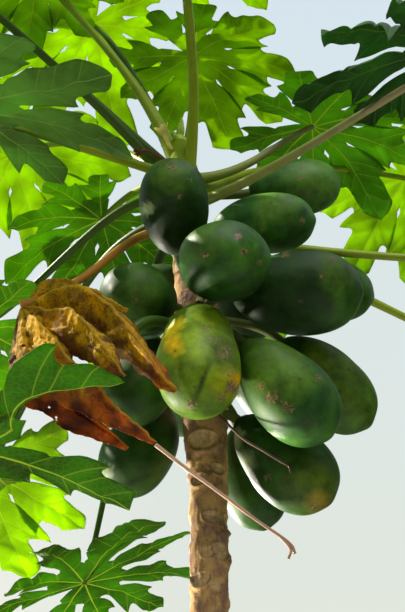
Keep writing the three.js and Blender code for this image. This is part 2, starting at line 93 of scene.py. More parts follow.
# %% [markdown]
# ## Small helpers
# Colours are written as screen values from 0 to 255, and Blender wants them in linear light.
# One helper puts a node into a tree with its sockets set or linked. The others are short names for
# the nodes that nearly every finish below uses: mixing colours, stretching values, noise and light.

# %% Colours and nodes
def paint(red, green, blue):
    """A screen colour in linear light, with full cover."""
    shares = [value / 255 for value in (red, green, blue)]
    return (*[s / 12.92 if s < 0.04045 else ((s + 0.055) / 1.055) ** 2.4 for s in shares], 1)


def put(tree, kind, sockets=None, **settings):
    """Adds a node to a tree. Its sockets are linked or set, and settings are its own properties."""
    made = tree.nodes.new(kind)
    for name, value in settings.items():
        setattr(made, name, value)
    for name, value in (sockets or {}).items():
        if isinstance(value, bpy.types.NodeSocket):
            tree.links.new(value, made.inputs[name])
        else:
            made.inputs[name].default_value = value
    return made


# Where the colour sockets stand in a Mix node
FACTOR, FIRST, SECOND, MIXED = 0, 6, 7, 2


def blend_colours(tree, factor, first, second, way="MIX"):
    sockets = {FACTOR: factor, FIRST: first, SECOND: second}
    return put(tree, "ShaderNodeMix", sockets, data_type="RGBA", blend_type=way).outputs[MIXED]


def limits(tree, value, low, high, start=0, end=1):
    """Turns the stretch from low to high into the stretch from start to end."""
    sockets = {"Value": value, "From Min": low, "From Max": high, "To Min": start, "To Max": end}
    return put(tree, "ShaderNodeMapRange", sockets).outputs["Result"]


def attribute(tree, name):
    return put(tree, "ShaderNodeAttribute", attribute_name=name)


def here(tree):
    """Where a point lies on its object."""
    return put(tree, "ShaderNodeTexCoord").outputs["Object"]


def noise(tree, scale, detail, place=None, **more):
    """Uneven values round one half, at so many waves a metre."""
    sockets = {"Vector": place or here(tree), "Scale": scale, "Detail": detail, **more}
    return put(tree, "ShaderNodeTexNoise", sockets)


def arithmetic(tree, operation, first, second):
    return put(tree, "ShaderNodeMath", {0: first, 1: second}, operation=operation).outputs[0]


def vectors(tree, operation, first, second):
    return put(tree, "ShaderNodeVectorMath", {0: first, 1: second}, operation=operation).outputs[0]


def plain_surface(tree, colour, roughness, normal, gloss=0.5):
    sockets = {"Base Color": colour, "Roughness": roughness, "Specular IOR Level": gloss, "Normal": normal}
    return put(tree, "ShaderNodeBsdfPrincipled", sockets).outputs[0]


def thin_surface(tree, share_through, face, glow, **more):
    """A face mixed with a surface that glows when the light stands behind it."""
    light = put(tree, "ShaderNodeBsdfTranslucent", {"Color": glow, **more})
    return put(tree, "ShaderNodeMixShader", {0: share_through, 1: face, 2: light.outputs[0]}).outputs[0]


def dimmed(colour, share):
    return (*[channel * share for channel in colour[:3]], 1)


print("middle grey in linear light:", round(paint(128, 128, 128)[0], 3))

# %% [markdown]
# ## Sky, sun and soft lights
# The sky is pale: a little blue above, grey-green lower down and cream on the left. The camera sees
# these colours, while the light that falls on the plant is stronger from above than from below.
# The sun stands high on the left and a little behind the tree, so it shines through the leaves. Three
# soft lights help it. A narrow one from behind draws the white edges of the fruit, one on the left
# draws the edge of the trunk, and a wide one in front stands for the open sky behind the viewer.

# %% Sky
SKY_HIGH, SKY_LOW, SKY_LEFT = paint(213, 229, 240), paint(225, 231, 221), paint(238, 239, 230)
# Between which parts of a view's direction the sky changes: upwards, to the right, at the horizon
BLUE_BETWEEN, CREAM_BETWEEN, HORIZON_BETWEEN = (0.36, 0.75), (-0.14, -0.03), (-0.1, 0.1)
LIGHT_ABOVE = (1.2, 1.3, 1.3, 1)
LIGHT_BESIDE = (0.26, 0.29, 0.25, 1)
LIGHT_BELOW = (0.05, 0.06, 0.03, 1)

world = bpy.data.worlds.new("pale_sky")
world.use_nodes = True
sky = world.node_tree
sky.nodes.clear()
looking = put(sky, "ShaderNodeSeparateXYZ", {0: put(sky, "ShaderNodeTexCoord").outputs["Generated"]})
high = limits(sky, looking.outputs["Z"], *BLUE_BETWEEN)
leftward = limits(sky, looking.outputs["X"], *CREAM_BETWEEN, 1, 0)
seen_sky = blend_colours(sky, high, blend_colours(sky, leftward, SKY_LOW, SKY_LEFT), SKY_HIGH)
overhead = limits(sky, looking.outputs["Z"], 0.0, 1.0)
horizon = limits(sky, looking.outputs["Z"], *HORIZON_BETWEEN)
from_above = blend_colours(sky, overhead, LIGHT_BESIDE, LIGHT_ABOVE)
sky_light = blend_colours(sky, horizon, LIGHT_BELOW, from_above)
seen = put(sky, "ShaderNodeLightPath").outputs["Is Camera Ray"]
background = put(sky, "ShaderNodeBackground", {"Color": blend_colours(sky, seen, sky_light, seen_sky)})
put(sky, "ShaderNodeOutputWorld", {"Surface": background.outputs[0]})
bpy.context.scene.world = world
print("sky nodes:", len(sky.nodes))

# %% Sun and soft lights
SUN_FROM = (-0.72, 0.17, 0.67)
SUN_STRENGTH = 8.0
SUN_WIDTH = math.radians(1.0)
SUN_COLOUR = (1.0, 0.93, 0.80)
OPEN_SKY_COLOUR = (0.97, 1.0, 0.94)
# Soft lights: name, place, what it is aimed at, power, size, spread in degrees and colour
SOFT_LIGHTS = [
    ("low_sun", (-1.35, 2.75, 2.85), (0.06, -0.15, 2.70), 2.6, 0.3, 14, SUN_COLOUR),
    ("trunk_edge", (-2.2, 1.3, 1.7), (-0.04, -0.10, 2.50), 4.5, 0.3, 22, SUN_COLOUR),
    ("open_sky", (0.7, -2.6, 6.2), (0.05, -0.2, 2.9), 110, 1.8, 180, OPEN_SKY_COLOUR),
]

sun = bpy.data.lights.new("sun", "SUN")
sun.energy = SUN_STRENGTH
sun.angle = SUN_WIDTH
sun.color = SUN_COLOUR
sun_object = new_object("sun", sun)
sun_way = np.array(SUN_FROM) / np.linalg.norm(SUN_FROM)
sun_object.rotation_euler = (math.acos(sun_way[2]), 0, math.atan2(sun_way[0], -sun_way[1]))

for name, place, target, power, size, spread, colour in SOFT_LIGHTS:
    lamp = bpy.data.lights.new(name, "AREA")
    lamp.energy = power
    lamp.size = size
    lamp.color = colour
    lamp.spread = math.radians(spread)
    lamp_object = new_object(name, lamp)
    lamp_object.location = place
    lamp_object.rotation_euler = (Vector(target) - Vector(place)).to_track_quat("-Z", "Y").to_euler()

bpy.context.scene.view_settings.view_transform = "Standard"
print("sun stands", round(math.degrees(math.asin(sun_way[2]))), "degrees above the ground")

# %% [markdown]
# ## Seeded roughness
# Nature is never even, but a lesson has to give the same tree each time. This lattice noise is worked
# out from the place alone and a seed, so it needs no random numbers.

# %% Roughness in space
# Large odd numbers that mix the three counts of a lattice place and the seed
PLACE_MIXERS = (374761393, 668265263, 1440662683)
SEED_MIXER, LAST_MIXER = 974634777, 1274126177
LOW_BITS = 0xFFFFFFFF
VALUE_BITS, HALF_VALUE = 0xFFFF, 0x7FFF


def roughness(points, seed=0):
    """Smooth noise between -1 and 1 for an array of points."""
    cell = np.floor(points).astype(np.int64)
    part = points - cell
    part = part * part * (3 - 2 * part)
    total = np.zeros(points.shape[:-1])
    for corner in itertools.product((0, 1), repeat=3):
        place = cell + np.array(corner)
        mixed = sum(place[..., k] * PLACE_MIXERS[k] for k in range(3))
        mixed = (mixed + seed * SEED_MIXER) & LOW_BITS
        mixed = ((mixed ^ (mixed >> 13)) * LAST_MIXER) & LOW_BITS
        value = ((mixed ^ (mixed >> 16)) & VALUE_BITS) / HALF_VALUE - 1
        weight = np.prod(np.where(np.array(corner) == 1, part, 1 - part), axis=-1)
        total += value * weight
    return total


def heading(turn, rise):
    """A way: turn 0 faces the viewer, 90 the viewer's right, and rise is above the horizontal."""
    t, r = math.radians(turn), math.radians(rise)
    return np.array([math.sin(t) * math.cos(r), -math.cos(t) * math.cos(r), math.sin(r)])


print("roughness halfway between lattice places:", round(float(roughness(np.full(3, 0.5))), 3))

# %% [markdown]
# ## From arrays to pieces
# Every mesh below is a grid of points. Points that meet are welded, faces that shrink to a line are
# dropped, and the piece rides on the plant's one body and stands for the solids it dresses.

# %% Arrays to pieces
MILLIMETRE = 0.001


def weld(points, faces):
    """Joins points that meet and drops the corners that fall together."""
    _, first, place = np.unique(np.round(points, 3), axis=0, return_index=True, return_inverse=True)
    kept = []
    for face in place.reshape(-1)[faces]:
        corners = [c for c, after in zip(face, np.roll(face, -1)) if c != after]
        if len(set(corners)) > 2:
            kept.append(corners)
    return first, kept


def grid_faces(rows, columns, closed=False):
    """Faces of a grid of rows by columns of points, counted row by row."""
    across = columns if closed else columns - 1
    r, c = np.meshgrid(np.arange(rows - 1), np.arange(across), indexing="ij")
    after = (c + 1) % columns
    corners = [r * columns + c, r * columns + after, (r + 1) * columns + after, (r + 1) * columns + c]
    return np.stack(corners, -1).reshape(-1, 4)


def new_mesh(name, points, faces, values=None):
    """A smooth mesh in metres. The values are numbers or colours, one for each point."""
    first, kept = weld(points, np.asarray(faces))
    mesh = bpy.data.meshes.new(name)
    mesh.from_pydata((points[first] * MILLIMETRE).tolist(), [], kept)
    for key, numbers in (values or {}).items():
        if numbers.ndim == 2:
            layer = mesh.attributes.new(key, "FLOAT_COLOR", "POINT")
            layer.data.foreach_set("color", numbers[first].astype(np.float32).ravel())
        else:
            layer = mesh.attributes.new(key, "FLOAT", "POINT")
            layer.data.foreach_set("value", numbers[first].astype(np.float32))
    mesh.shade_smooth()
    mesh.update()
    return mesh


def add_piece(name, mesh, finish, node):
    """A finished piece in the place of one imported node."""
    mesh.materials.clear()
    mesh.materials.append(finish)
    piece = new_object(name, mesh)
    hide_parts(node)
    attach(piece, "root")


def finished_mesh(piece):
    """The mesh that a piece's modifiers make. The piece itself is taken away."""
    depsgraph = bpy.context.evaluated_depsgraph_get()
    mesh = bpy.data.meshes.new_from_object(piece.evaluated_get(depsgraph))
    bpy.data.objects.remove(piece)
    return mesh


# %% [markdown]
# ## The floor
# A plain pale floor sends some sunlight back up to the undersides of the leaves and fruit. It belongs
# to the picture and not to the plant, so it is marked as stage.

# %% Floor
FLOOR_HALF = 3600
FLOOR_PAINT, FLOOR_ROUGHNESS = paint(160, 158, 152), 0.9

floor_paint = bpy.data.materials.new("pale_floor")
floor_paint.use_nodes = True
floor_shader = floor_paint.node_tree.nodes["Principled BSDF"]
floor_shader.inputs["Base Color"].default_value = FLOOR_PAINT
floor_shader.inputs["Roughness"].default_value = FLOOR_ROUGHNESS
floor_corners = np.array([[-1, -1, 0], [1, -1, 0], [1, 1, 0], [-1, 1, 0]]) * FLOOR_HALF
floor_mesh = new_mesh("floor", floor_corners, [[0, 1, 2, 3]])
floor_mesh.materials.append(floor_paint)
floor = new_object("floor", floor_mesh)
floor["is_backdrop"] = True
print("floor:", 2 * FLOOR_HALF * MILLIMETRE, "m wide")

# %% [markdown]
# ## The trunk's centre line
# The stem leans towards the light, and bends a little to the left under the crown. Everything that
# grows on it is placed from this line by a turn, a height and a reach.

# %% Centre line and radius of the trunk
TIP_HEIGHT = 3338
BEND_START, BEND_LENGTH, BEND_SIDEWAYS, BEND_POWER = 2600, 700, -50, 1.5
SWEEP_SIDEWAYS, SWEEP_HEIGHT = 18, 2450
LEAN_FORWARD, LEAN_HEIGHT, LEAN_POWER = -120, 3000, 1.6
TRUNK_HEIGHTS = [0, 300, 900, 1600, 2200, 2450, 2650, 2735, 2950, 3150, 3280, TIP_HEIGHT]
TRUNK_RADII = [82, 64, 53, 40, 31, 29.5, 31.5, 37, 37, 34, 29, 22]


def trunk_axis(height):
    height = np.asarray(height, float)
    bend = BEND_SIDEWAYS * (np.maximum(0, height - BEND_START) / BEND_LENGTH) ** BEND_POWER
    sweep = np.where(height < SWEEP_HEIGHT, SWEEP_SIDEWAYS * np.sin(np.pi * height / SWEEP_HEIGHT), 0)
    lean = LEAN_FORWARD * (height / LEAN_HEIGHT) ** LEAN_POWER
    return np.stack([bend + sweep, lean, height], -1)


def round_trunk(turn, height, reach):
    return trunk_axis(height) + heading(turn, 0) * reach


print("trunk radius at the lowest visible height:", np.interp(2440, TRUNK_HEIGHTS, TRUNK_RADII), "mm")

# %% [markdown]
# ## Fine grain, shared by the finishes
# A small uneven relief keeps bark, rind and leaf from looking like plastic. One node group makes it
# at any scale and puts out the pattern and the bent normal.

# %% The shared grain group
grain_group = bpy.data.node_groups.new("fine grain", "ShaderNodeTree")
for word, start in (("Scale", 200.0), ("Strength", 0.2), ("Depth", 0.001)):
    socket = grain_group.interface.new_socket(word, in_out="INPUT", socket_type="NodeSocketFloat")
    socket.default_value = start
grain_group.interface.new_socket("Pattern", in_out="OUTPUT", socket_type="NodeSocketFloat")
grain_group.interface.new_socket("Normal", in_out="OUTPUT", socket_type="NodeSocketVector")
grain_in = put(grain_group, "NodeGroupInput")
pattern = noise(grain_group, grain_in.outputs["Scale"], 4.0).outputs["Fac"]
grain_bump = put(grain_group, "ShaderNodeBump",
                 {"Strength": grain_in.outputs["Strength"], "Distance": grain_in.outputs["Depth"],
                  "Height": pattern})
put(grain_group, "NodeGroupOutput", {"Pattern": pattern, "Normal": grain_bump.outputs["Normal"]})


def grain(tree, scale, strength, depth):
    """The grain group in a finish, with its own size and depth."""
    made = put(tree, "ShaderNodeGroup", node_tree=grain_group)
    made.inputs["Scale"].default_value = scale
    made.inputs["Strength"].default_value = strength
    made.inputs["Depth"].default_value = depth
    return made


def new_finish(name):
    """A new material and its empty tree."""
    finish = bpy.data.materials.new(name)
    finish.use_nodes = True
    tree = finish.node_tree
    tree.nodes.clear()
    return finish, tree


def surface(tree, shader):
    put(tree, "ShaderNodeOutputMaterial", {"Surface": shader})


print("grain group sockets:", len(grain_group.interface.items_tree))

# %% [markdown]
# ## The bark
# A papaya stem is soft and grey-brown, tan where the skin has worn, and plum-coloured in patches, with
# fine upright streaks. Each colour lies over the last one through its own mask. The mesh carries the
# scars, the cracks and the young green top as numbers on its points, and the finish reads them.

# %% Bark finish
BARK_DARK, BARK_TAN, BARK_GREY = paint(88, 60, 42), paint(186, 146, 90), paint(170, 142, 108)
BARK_GREEN, BARK_PLUM, STEM_YOUNG = paint(112, 122, 44), paint(122, 88, 82), paint(138, 158, 34)
SCAR_PALE, CRACK_DARK = paint(214, 184, 138), paint(58, 38, 24)
STREAK_STRETCH = (1.0, 1.0, 0.35)

bark, tree = new_finish("bark")
fine = grain(tree, 260.0, 0.5, 0.0015)
broad = noise(tree, 22.0, 5.0, Roughness=0.65).outputs["Fac"]
cloud = noise(tree, 6.0, 3.0).outputs["Fac"]
patches = noise(tree, 34.0, 4.0).outputs["Fac"]
upright = vectors(tree, "MULTIPLY", here(tree), STREAK_STRETCH)
streaks = noise(tree, 250.0, 5.0, upright, Roughness=0.7, Distortion=1.2).outputs["Fac"]
# What lies over the dark bark, from first to last
layers = [
    (limits(tree, broad, 0.36, 0.56), BARK_TAN),
    (limits(tree, fine.outputs["Pattern"], 0.45, 0.7, 0, 0.6), BARK_GREY),
    (limits(tree, cloud, 0.6, 0.75, 0, 0.25), BARK_GREEN),
    (limits(tree, patches, 0.5, 0.62, 0, 0.7), BARK_PLUM),
    (limits(tree, streaks, 0.58, 0.72, 0, 0.3), SCAR_PALE),
    (limits(tree, streaks, 0.32, 0.4, 0.45, 0), CRACK_DARK),
    (attribute(tree, "pale").outputs["Fac"], SCAR_PALE),
    (attribute(tree, "dark").outputs["Fac"], CRACK_DARK),
    (attribute(tree, "young").outputs["Fac"], STEM_YOUNG),
]
colour = BARK_DARK
for mask, layer_colour in layers:
    colour = blend_colours(tree, mask, colour, layer_colour)
relief = put(tree, "ShaderNodeBump",
             {"Strength": 0.6, "Distance": 0.002, "Height": streaks, "Normal": fine.outputs["Normal"]})
surface(tree, plain_surface(tree, colour, 0.85, relief.outputs["Normal"], gloss=0.25))
print("bark:", len(layers), "colours over the dark one")

# %% [markdown]
# ## The trunk
# The trunk is a grid of points round the centre line, with finer rows where the camera sees it. Its
# foot flares into a few low ridges where the roots begin.

# %% Points round the trunk
LOW_ROWS, HIGH_ROWS, FINE_ABOVE = 230, 590, 2380
TRUNK_COLUMNS = 108
ROOT_FLARES, FLARE_HEIGHT, FLARE_DEPTH, FLARE_EVEN = 5, 160, 0.3, 0.7

heights = np.concatenate([np.linspace(0, FINE_ABOVE, LOW_ROWS, endpoint=False),
                          np.linspace(FINE_ABOVE, TIP_HEIGHT, HIGH_ROWS)])
angles = np.linspace(0, 2 * np.pi, TRUNK_COLUMNS, endpoint=False)
height_grid, angle_grid = np.meshgrid(heights, angles, indexing="ij")
plain_radius = np.interp(height_grid, TRUNK_HEIGHTS, TRUNK_RADII)
flare = FLARE_DEPTH * np.exp(-height_grid / FLARE_HEIGHT)
plain_radius = plain_radius * (1 + flare * (FLARE_EVEN + (1 - FLARE_EVEN) * np.cos(ROOT_FLARES * angle_grid)))
ways = np.stack([np.cos(angle_grid), np.sin(angle_grid), np.zeros_like(angle_grid)], -1)
surface_points = np.stack([ways[..., 0] * plain_radius, ways[..., 1] * plain_radius, height_grid], -1)
print("trunk: rows and columns", height_grid.shape)

# %% [markdown]
# ## Leaf scars
# Each leaf that fell left a broad scar like a shield: a sunken face, a raised rim, a broken dark ring
# and a dot where each bundle of fibres went through. The scars climb in a spiral, and grow fainter
# towards the foot. Where the photograph shows the trunk, its own scars take the place of the spiral.

# %% Leaf scars
SCAR_TURN, SCAR_RISE, SCAR_LOWEST = 137.5, 24, 500
SCAR_WIDE, SCAR_TALL, SCAR_DEPTH, RIM_HEIGHT = 19, 11, 2.2, 2.6
SHIELD, FACE_EDGE, FACE_SOFT, FACE_PALE = 0.35, 1.15, 0.3, 0.85
RIM_AT, RIM_WIDE, RING_AT, RING_WIDE, RING_DARK = 1.12, 0.2, 1.0, 0.09, 0.6
BUNDLES, BUNDLE_SIZE, BUNDLE_DARK = (-0.4, 0, 0.4), 0.02, 0.3
OLD_SCAR, SCARS_FADE_OVER, SHOWN_BOLD = 0.45, 1500, 1.2
SEEN_TURN, SEEN_LOW, SEEN_HIGH = 75, 2430, 2760
WORN_SIZE, BROKEN_SIZE = 5, 7
# Scars that the photograph shows: turn, height, half width and half height
SHOWN_SCARS = [
    (-12, 2722, 25, 14), (8, 2588, 13, 9), (-30, 2655, 14, 9), (38, 2533, 15, 12),
    (-28, 2486, 17, 10), (30, 2672, 12, 8), (-2, 2528, 12, 8), (20, 2474, 12, 7),
]

scars = []
for count in range(int((TIP_HEIGHT - SCAR_LOWEST) / SCAR_RISE)):
    height = SCAR_LOWEST + count * SCAR_RISE
    turn = (count * SCAR_TURN + 180) % 360 - 180
    if not (abs(turn) < SEEN_TURN and SEEN_LOW < height < SEEN_HIGH):
        scars.append((turn, height, SCAR_WIDE, SCAR_TALL))
scars += SHOWN_SCARS


def angle_from(turn):
    """The angle of every point from a turn, between minus and plus half a circle."""
    angle = math.atan2(-math.cos(math.radians(turn)), math.sin(math.radians(turn)))
    return (angle_grid - angle + np.pi) % (2 * np.pi) - np.pi


dent = np.zeros_like(height_grid)
pale = np.zeros_like(height_grid)
dark = np.zeros_like(height_grid)
worn = 0.6 + 0.4 * roughness(surface_points / WORN_SIZE, 3)
broken = np.clip(0.6 + roughness(surface_points / BROKEN_SIZE, 4), 0, 1)
for turn, height, wide, tall in scars:
    x = angle_from(turn) * plain_radius / wide
    y = (height_grid - height) / tall
    shape = np.sqrt(x ** 2 + (y * (1 + SHIELD * np.tanh(2 * y))) ** 2)
    face = np.clip(FACE_EDGE - shape, 0, 1) ** FACE_SOFT * (shape < FACE_EDGE)
    rim = np.exp(-((shape - RIM_AT) / RIM_WIDE) ** 2)
    bold = SHOWN_BOLD if (turn, height, wide, tall) in SHOWN_SCARS else 1
    fade = bold * min(1, OLD_SCAR + (1 - OLD_SCAR) * (height - SCAR_LOWEST) / SCARS_FADE_OVER)
    dent += fade * (RIM_HEIGHT * rim * (0.75 - 0.35 * y) - SCAR_DEPTH * face)
    pale = np.maximum(pale, min(1, fade) * FACE_PALE * face * worn)
    ring = np.exp(-((shape - RING_AT) / RING_WIDE) ** 2) * (y < 0.3)
    dark = np.maximum(dark, fade * RING_DARK * ring * broken)
    for side in BUNDLES:
        dot = np.exp(-(((x - side) ** 2 + (y + 0.1) ** 2) / BUNDLE_SIZE))
        dark = np.maximum(dark, BUNDLE_DARK * dot)
print("leaf scars:", len(scars))

# %% [markdown]
# ## Bark relief and the trunk's mesh
# Long cracks, low knobs and small unevenness are added to the scars, and all of it moves the points in
# or out. The relief fades at both ends, so the cut at the ground stays flat, and one more point in the
# middle closes each end.

# %% Trunk mesh
CRACK_STRETCH, CRACK_DEPTH, CRACK_SHADE = np.array([6, 6, 46]), 0.8, 0.35
# A crack runs where noise passes through zero, but only in the parts that another noise leaves
CRACK_NARROW, PARTS_SIZE, PARTS_SHARP, PARTS_START = 11, 3, 3, 0.6
# Unevenness: size, seed and height
UNEVEN = [(42, 7, 2.4), (17, 8, 1.2), (6, 9, 0.6), (2.6, 10, 0.3)]
# Knobs at the edges of the trunk: turn, height, radius and how far they stand out
KNOBS = [(78, 2520, 11, 7), (-84, 2602, 8, 3), (-80, 2545, 6, 2.5), (84, 2640, 10, 3)]
GREEN_ABOVE, GREEN_FADE = 3060, 120
FADE_AT_TOP, FADE_AT_FOOT = 60, 30

relief = dent
for turn, height, size, out in KNOBS:
    across = angle_from(turn) * plain_radius
    relief = relief + out * np.exp(-(across ** 2 + (height_grid - height) ** 2) / size ** 2)
for size, seed, height in UNEVEN:
    relief = relief + height * roughness(surface_points / size, seed)
drawn_out = surface_points / CRACK_STRETCH
crack_line = np.clip(1 - np.abs(roughness(drawn_out, 5)) * CRACK_NARROW, 0, 1)
crack_parts = np.clip(roughness(drawn_out / PARTS_SIZE, 6) * PARTS_SHARP + PARTS_START, 0, 1)
crack = crack_line * crack_parts
relief = relief - CRACK_DEPTH * crack
dark = np.clip(np.maximum(dark, CRACK_SHADE * crack), 0, 1)
young = np.clip((height_grid - GREEN_ABOVE) / GREEN_FADE, 0, 1)
at_ends = np.clip((TIP_HEIGHT - height_grid) / FADE_AT_TOP, 0, 1) * np.clip(height_grid / FADE_AT_FOOT, 0, 1)
radius_grid = plain_radius + relief * at_ends
trunk_points = trunk_axis(height_grid) + ways * radius_grid[..., None]
trunk_points = np.concatenate([trunk_points.reshape(-1, 3), trunk_axis([0.0, TIP_HEIGHT])])
foot_point, top_point = len(trunk_points) - 2, len(trunk_points) - 1
trunk_faces = grid_faces(len(heights), TRUNK_COLUMNS, closed=True).tolist()
last_row = (len(heights) - 1) * TRUNK_COLUMNS
for k in range(TRUNK_COLUMNS):
    after = (k + 1) % TRUNK_COLUMNS
    trunk_faces.append([foot_point, after, k, k])
    trunk_faces.append([top_point, last_row + k, last_row + after, last_row + after])
trunk_values = {key: np.concatenate([numbers.reshape(-1), numbers[[0, -1], 0]])
                for key, numbers in (("pale", pale), ("dark", dark), ("young", young))}
trunk_mesh = new_mesh("trunk_bark", trunk_points, trunk_faces, trunk_values)
add_piece("trunk_bark", trunk_mesh, bark, "trunk")
print("trunk:", len(trunk_mesh.polygons), "faces")

# %% [markdown]
# ## The fruit's rind
# Unripe papaya is dark green with a wax bloom, freckled brown where it has rubbed or oozed. The
# ripening fruit turns yellow in patches. Base colours are dealt over the points of the mesh by a few
# soft sprays, together with painted light, painted shade and painted highlights, and the finish adds
# specks, mottling and the waxy gloss.

# %% Rind finish
SPECK, SPECK_STRENGTH = paint(74, 52, 30), 0.75
CORK, CORK_DARK = paint(158, 128, 96), paint(78, 50, 40)
MOTTLED = (0.3, 0.7)
SHAKE = (0.006, 0.006, 0.006)

rind, tree = new_finish("rind")
fine = grain(tree, 420.0, 0.12, 0.0006)
mottle = noise(tree, 38.0, 5.0, Roughness=0.7).outputs["Fac"]
light_and_dark = limits(tree, mottle, *MOTTLED, 0.5, 1.4)
tone = put(tree, "ShaderNodeCombineColor", {channel: light_and_dark for channel in range(3)})
skin = attribute(tree, "skin").outputs["Color"]
colour = blend_colours(tree, 1.0, skin, tone.outputs[0], "MULTIPLY")
# Specks sit in a few cells of a pattern that is shaken, so that they aren't round
ragged = noise(tree, 260.0, 3.0)
shaken = vectors(tree, "ADD", here(tree), vectors(tree, "MULTIPLY", ragged.outputs["Color"], SHAKE))
cells = put(tree, "ShaderNodeTexVoronoi", {"Vector": shaken, "Scale": 62.0, "Randomness": 1.0})
picked = put(tree, "ShaderNodeSeparateColor", {0: cells.outputs["Color"]}).outputs[0]
near = limits(tree, cells.outputs["Distance"], 0.1, 0.26, 1, 0)
few = limits(tree, picked, 0.66, 0.74)
speck_mask = arithmetic(tree, "MULTIPLY", arithmetic(tree, "MULTIPLY", near, few), SPECK_STRENGTH)
colour = blend_colours(tree, speck_mask, colour, SPECK)
cork = blend_colours(tree, limits(tree, ragged.outputs["Fac"], 0.42, 0.56), CORK_DARK, CORK)
colour = blend_colours(tree, attribute(tree, "scar").outputs["Fac"], colour, cork)
rough = limits(tree, mottle, *MOTTLED, 0.42, 0.62)
surface(tree, plain_surface(tree, colour, rough, fine.outputs["Normal"], gloss=0.22))
print("rind nodes:", len(tree.nodes))

# %% [markdown]
# ## The fruit's shape
# Every fruit is swept along its own line from the neck to the blossom end, wider past the middle.
# Five shallow ridges, slow lumps, a dimple at the neck and a small nipple at the end set it apart from
# a plain egg. A few have a waist, or are flatter one way. The turn, height, reach and pointing of each
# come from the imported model's own rule.

# %% Where the fruit hang
FRUIT = [
    # neck turn, height, reach; points turn, rise; length, girth
    (-19, 3050, 81, -4, 26, 180, 118), (10, 2967, 121, 14, -14, 175, 136),
    (42, 3126, 60, 72, -8, 190, 106), (94, 3236, 117, 95, 12, 180, 105),
    (33, 2960, 103, 82, -3, 225, 146), (106, 3080, 131, 105, -4, 215, 117),
    (-1, 2896, 136, 0, -70, 240, 133), (24, 2836, 157, 95, -51, 218, 131),
    (88, 2921, 140, 105, -43, 215, 124), (72, 2765, 55, 92, -45, 215, 132),
    (145, 2805, 103, 130, -72, 190, 112), (-52, 2969, 66, -35, -20, 160, 119),
    (-52, 2889, 69, -60, -60, 190, 119), (-125, 2814, 78, -68, -62, 190, 123),
    (152, 3119, 93, 150, -5, 200, 124), (-165, 3112, 81, -145, -5, 200, 124),
    (149, 2998, 130, 135, -38, 200, 120), (-176, 3000, 120, -174, -35, 200, 122),
    (-140, 2969, 91, -128, -35, 200, 119),
]
SHOWN_FRUIT = 14
# Rows and columns of points on a fruit that the photograph shows, and on one behind the trunk
SHOWN_GRID, HIDDEN_GRID = (92, 104), (40, 48)
FRUIT_FULLNESS, FRUIT_BELLY = 2.2, 1.22
# By number: fruit whose widest place lies elsewhere, fuller fruit, how deep a waist is, and how wide
# and how deep a fruit is that isn't round across
BELLIES = {1: 1.1, 7: 1.16, 8: 1.3, 10: 1.35}
FULLER = {7: 2.6}
WAISTS = {7: 0.08, 10: 0.04, 8: 0.03}
WAIST_AT, WAIST_LONG = 0.36, 0.14
FLATTENED = {2: (1.09, 0.93), 7: (1.02, 0.99), 14: (1.04, 0.97)}
RIDGES, RIDGE, LUMP, LUMP_SIZE = 5, 0.012, 0.02, 60
# How far the nipple, the hollow round it and the dimple at the neck go, and over which share of the length
NIPPLE, HOLLOW, DIMPLE = (5, 0.012), (4, 0.05), (5, 0.008)


def fruit_radius(share, girth, number):
    fullness = FULLER.get(number, FRUIT_FULLNESS)
    place = share ** BELLIES.get(number, FRUIT_BELLY)
    waist = 1 - WAISTS.get(number, 0) * np.exp(-((share - WAIST_AT) / WAIST_LONG) ** 2)
    return girth / 2 * waist * np.sqrt(np.maximum(0, 1 - np.abs(2 * place - 1) ** fullness))


def fading(size, share):
    """Something that is largest at share 0 and fades after it."""
    height, long = size
    return height * np.exp(-share / long)


def plain_fruit(number, row):
    """The points of a fruit, the way out of it at each of them, and its centre."""
    turn, height, reach, points_turn, points_rise, length, girth = row
    rows, columns = SHOWN_GRID if number <= SHOWN_FRUIT else HIDDEN_GRID
    start = round_trunk(turn, height, reach)
    along = heading(points_turn, points_rise)
    across = np.cross(along, [0, 0, 1])
    across /= np.linalg.norm(across)
    third = np.cross(along, across)
    shares = (1 - np.cos(np.linspace(0, np.pi, rows))) / 2
    turns = np.linspace(0, 2 * np.pi, columns, endpoint=False)
    share, around = np.meshgrid(shares, turns, indexing="ij")
    radius = fruit_radius(share, girth, number)
    wide, deep = FLATTENED.get(number, (1, 1))
    ring = wide * np.cos(around)[..., None] * across + deep * np.sin(around)[..., None] * third
    smooth = ring * radius[..., None] + share[..., None] * length * along
    ridges = 1 + RIDGE * np.cos(RIDGES * around + number) * np.sin(np.pi * share)
    lumps = 1 + LUMP * roughness(smooth / LUMP_SIZE + number * 7, 31) * np.sin(np.pi * share)
    points = start + smooth + ring * (radius * (ridges * lumps - 1))[..., None]
    ends = fading(NIPPLE, 1 - share) - fading(HOLLOW, 1 - share) + fading(DIMPLE, share)
    return points + ends[..., None] * along, ring, start + along * length / 2


print("fruit:", len(FRUIT), "of which the photograph shows", SHOWN_FRUIT)

# %% [markdown]
# ## Sprays, seams, dents and corky scars
# The photograph tells where a fruit is lit or shaded, riper, dented, creased or scarred. Each such place is
# one soft spray, aimed from the eye through a pixel and landing on the near side of the fruit. A seam
# is a row of such sprays. Plain colours are dealt this way, and a little noise roughens their edges;
# the light green and the deepest green are painted light and painted shade.

# %% What marks the fruit
# The deepest green is painted shade, sprayed on the shaded undersides of fruit and into the creases of seams
RIND_DARK, RIND_MIDDLE, RIND_SHADE = paint(28, 66, 18), paint(62, 108, 28), paint(16, 40, 12)
# The palest colour is a painted highlight, sprayed where the sun strikes the edge of a fruit
RIND_LIGHT, RIND_OLIVE, RIND_HIGHLIGHT = paint(112, 146, 44), paint(128, 146, 24), paint(188, 204, 150)
RIND_YELLOW, RIND_GOLD, RIND_AMBER = paint(222, 196, 20), paint(232, 186, 6), paint(206, 150, 6)
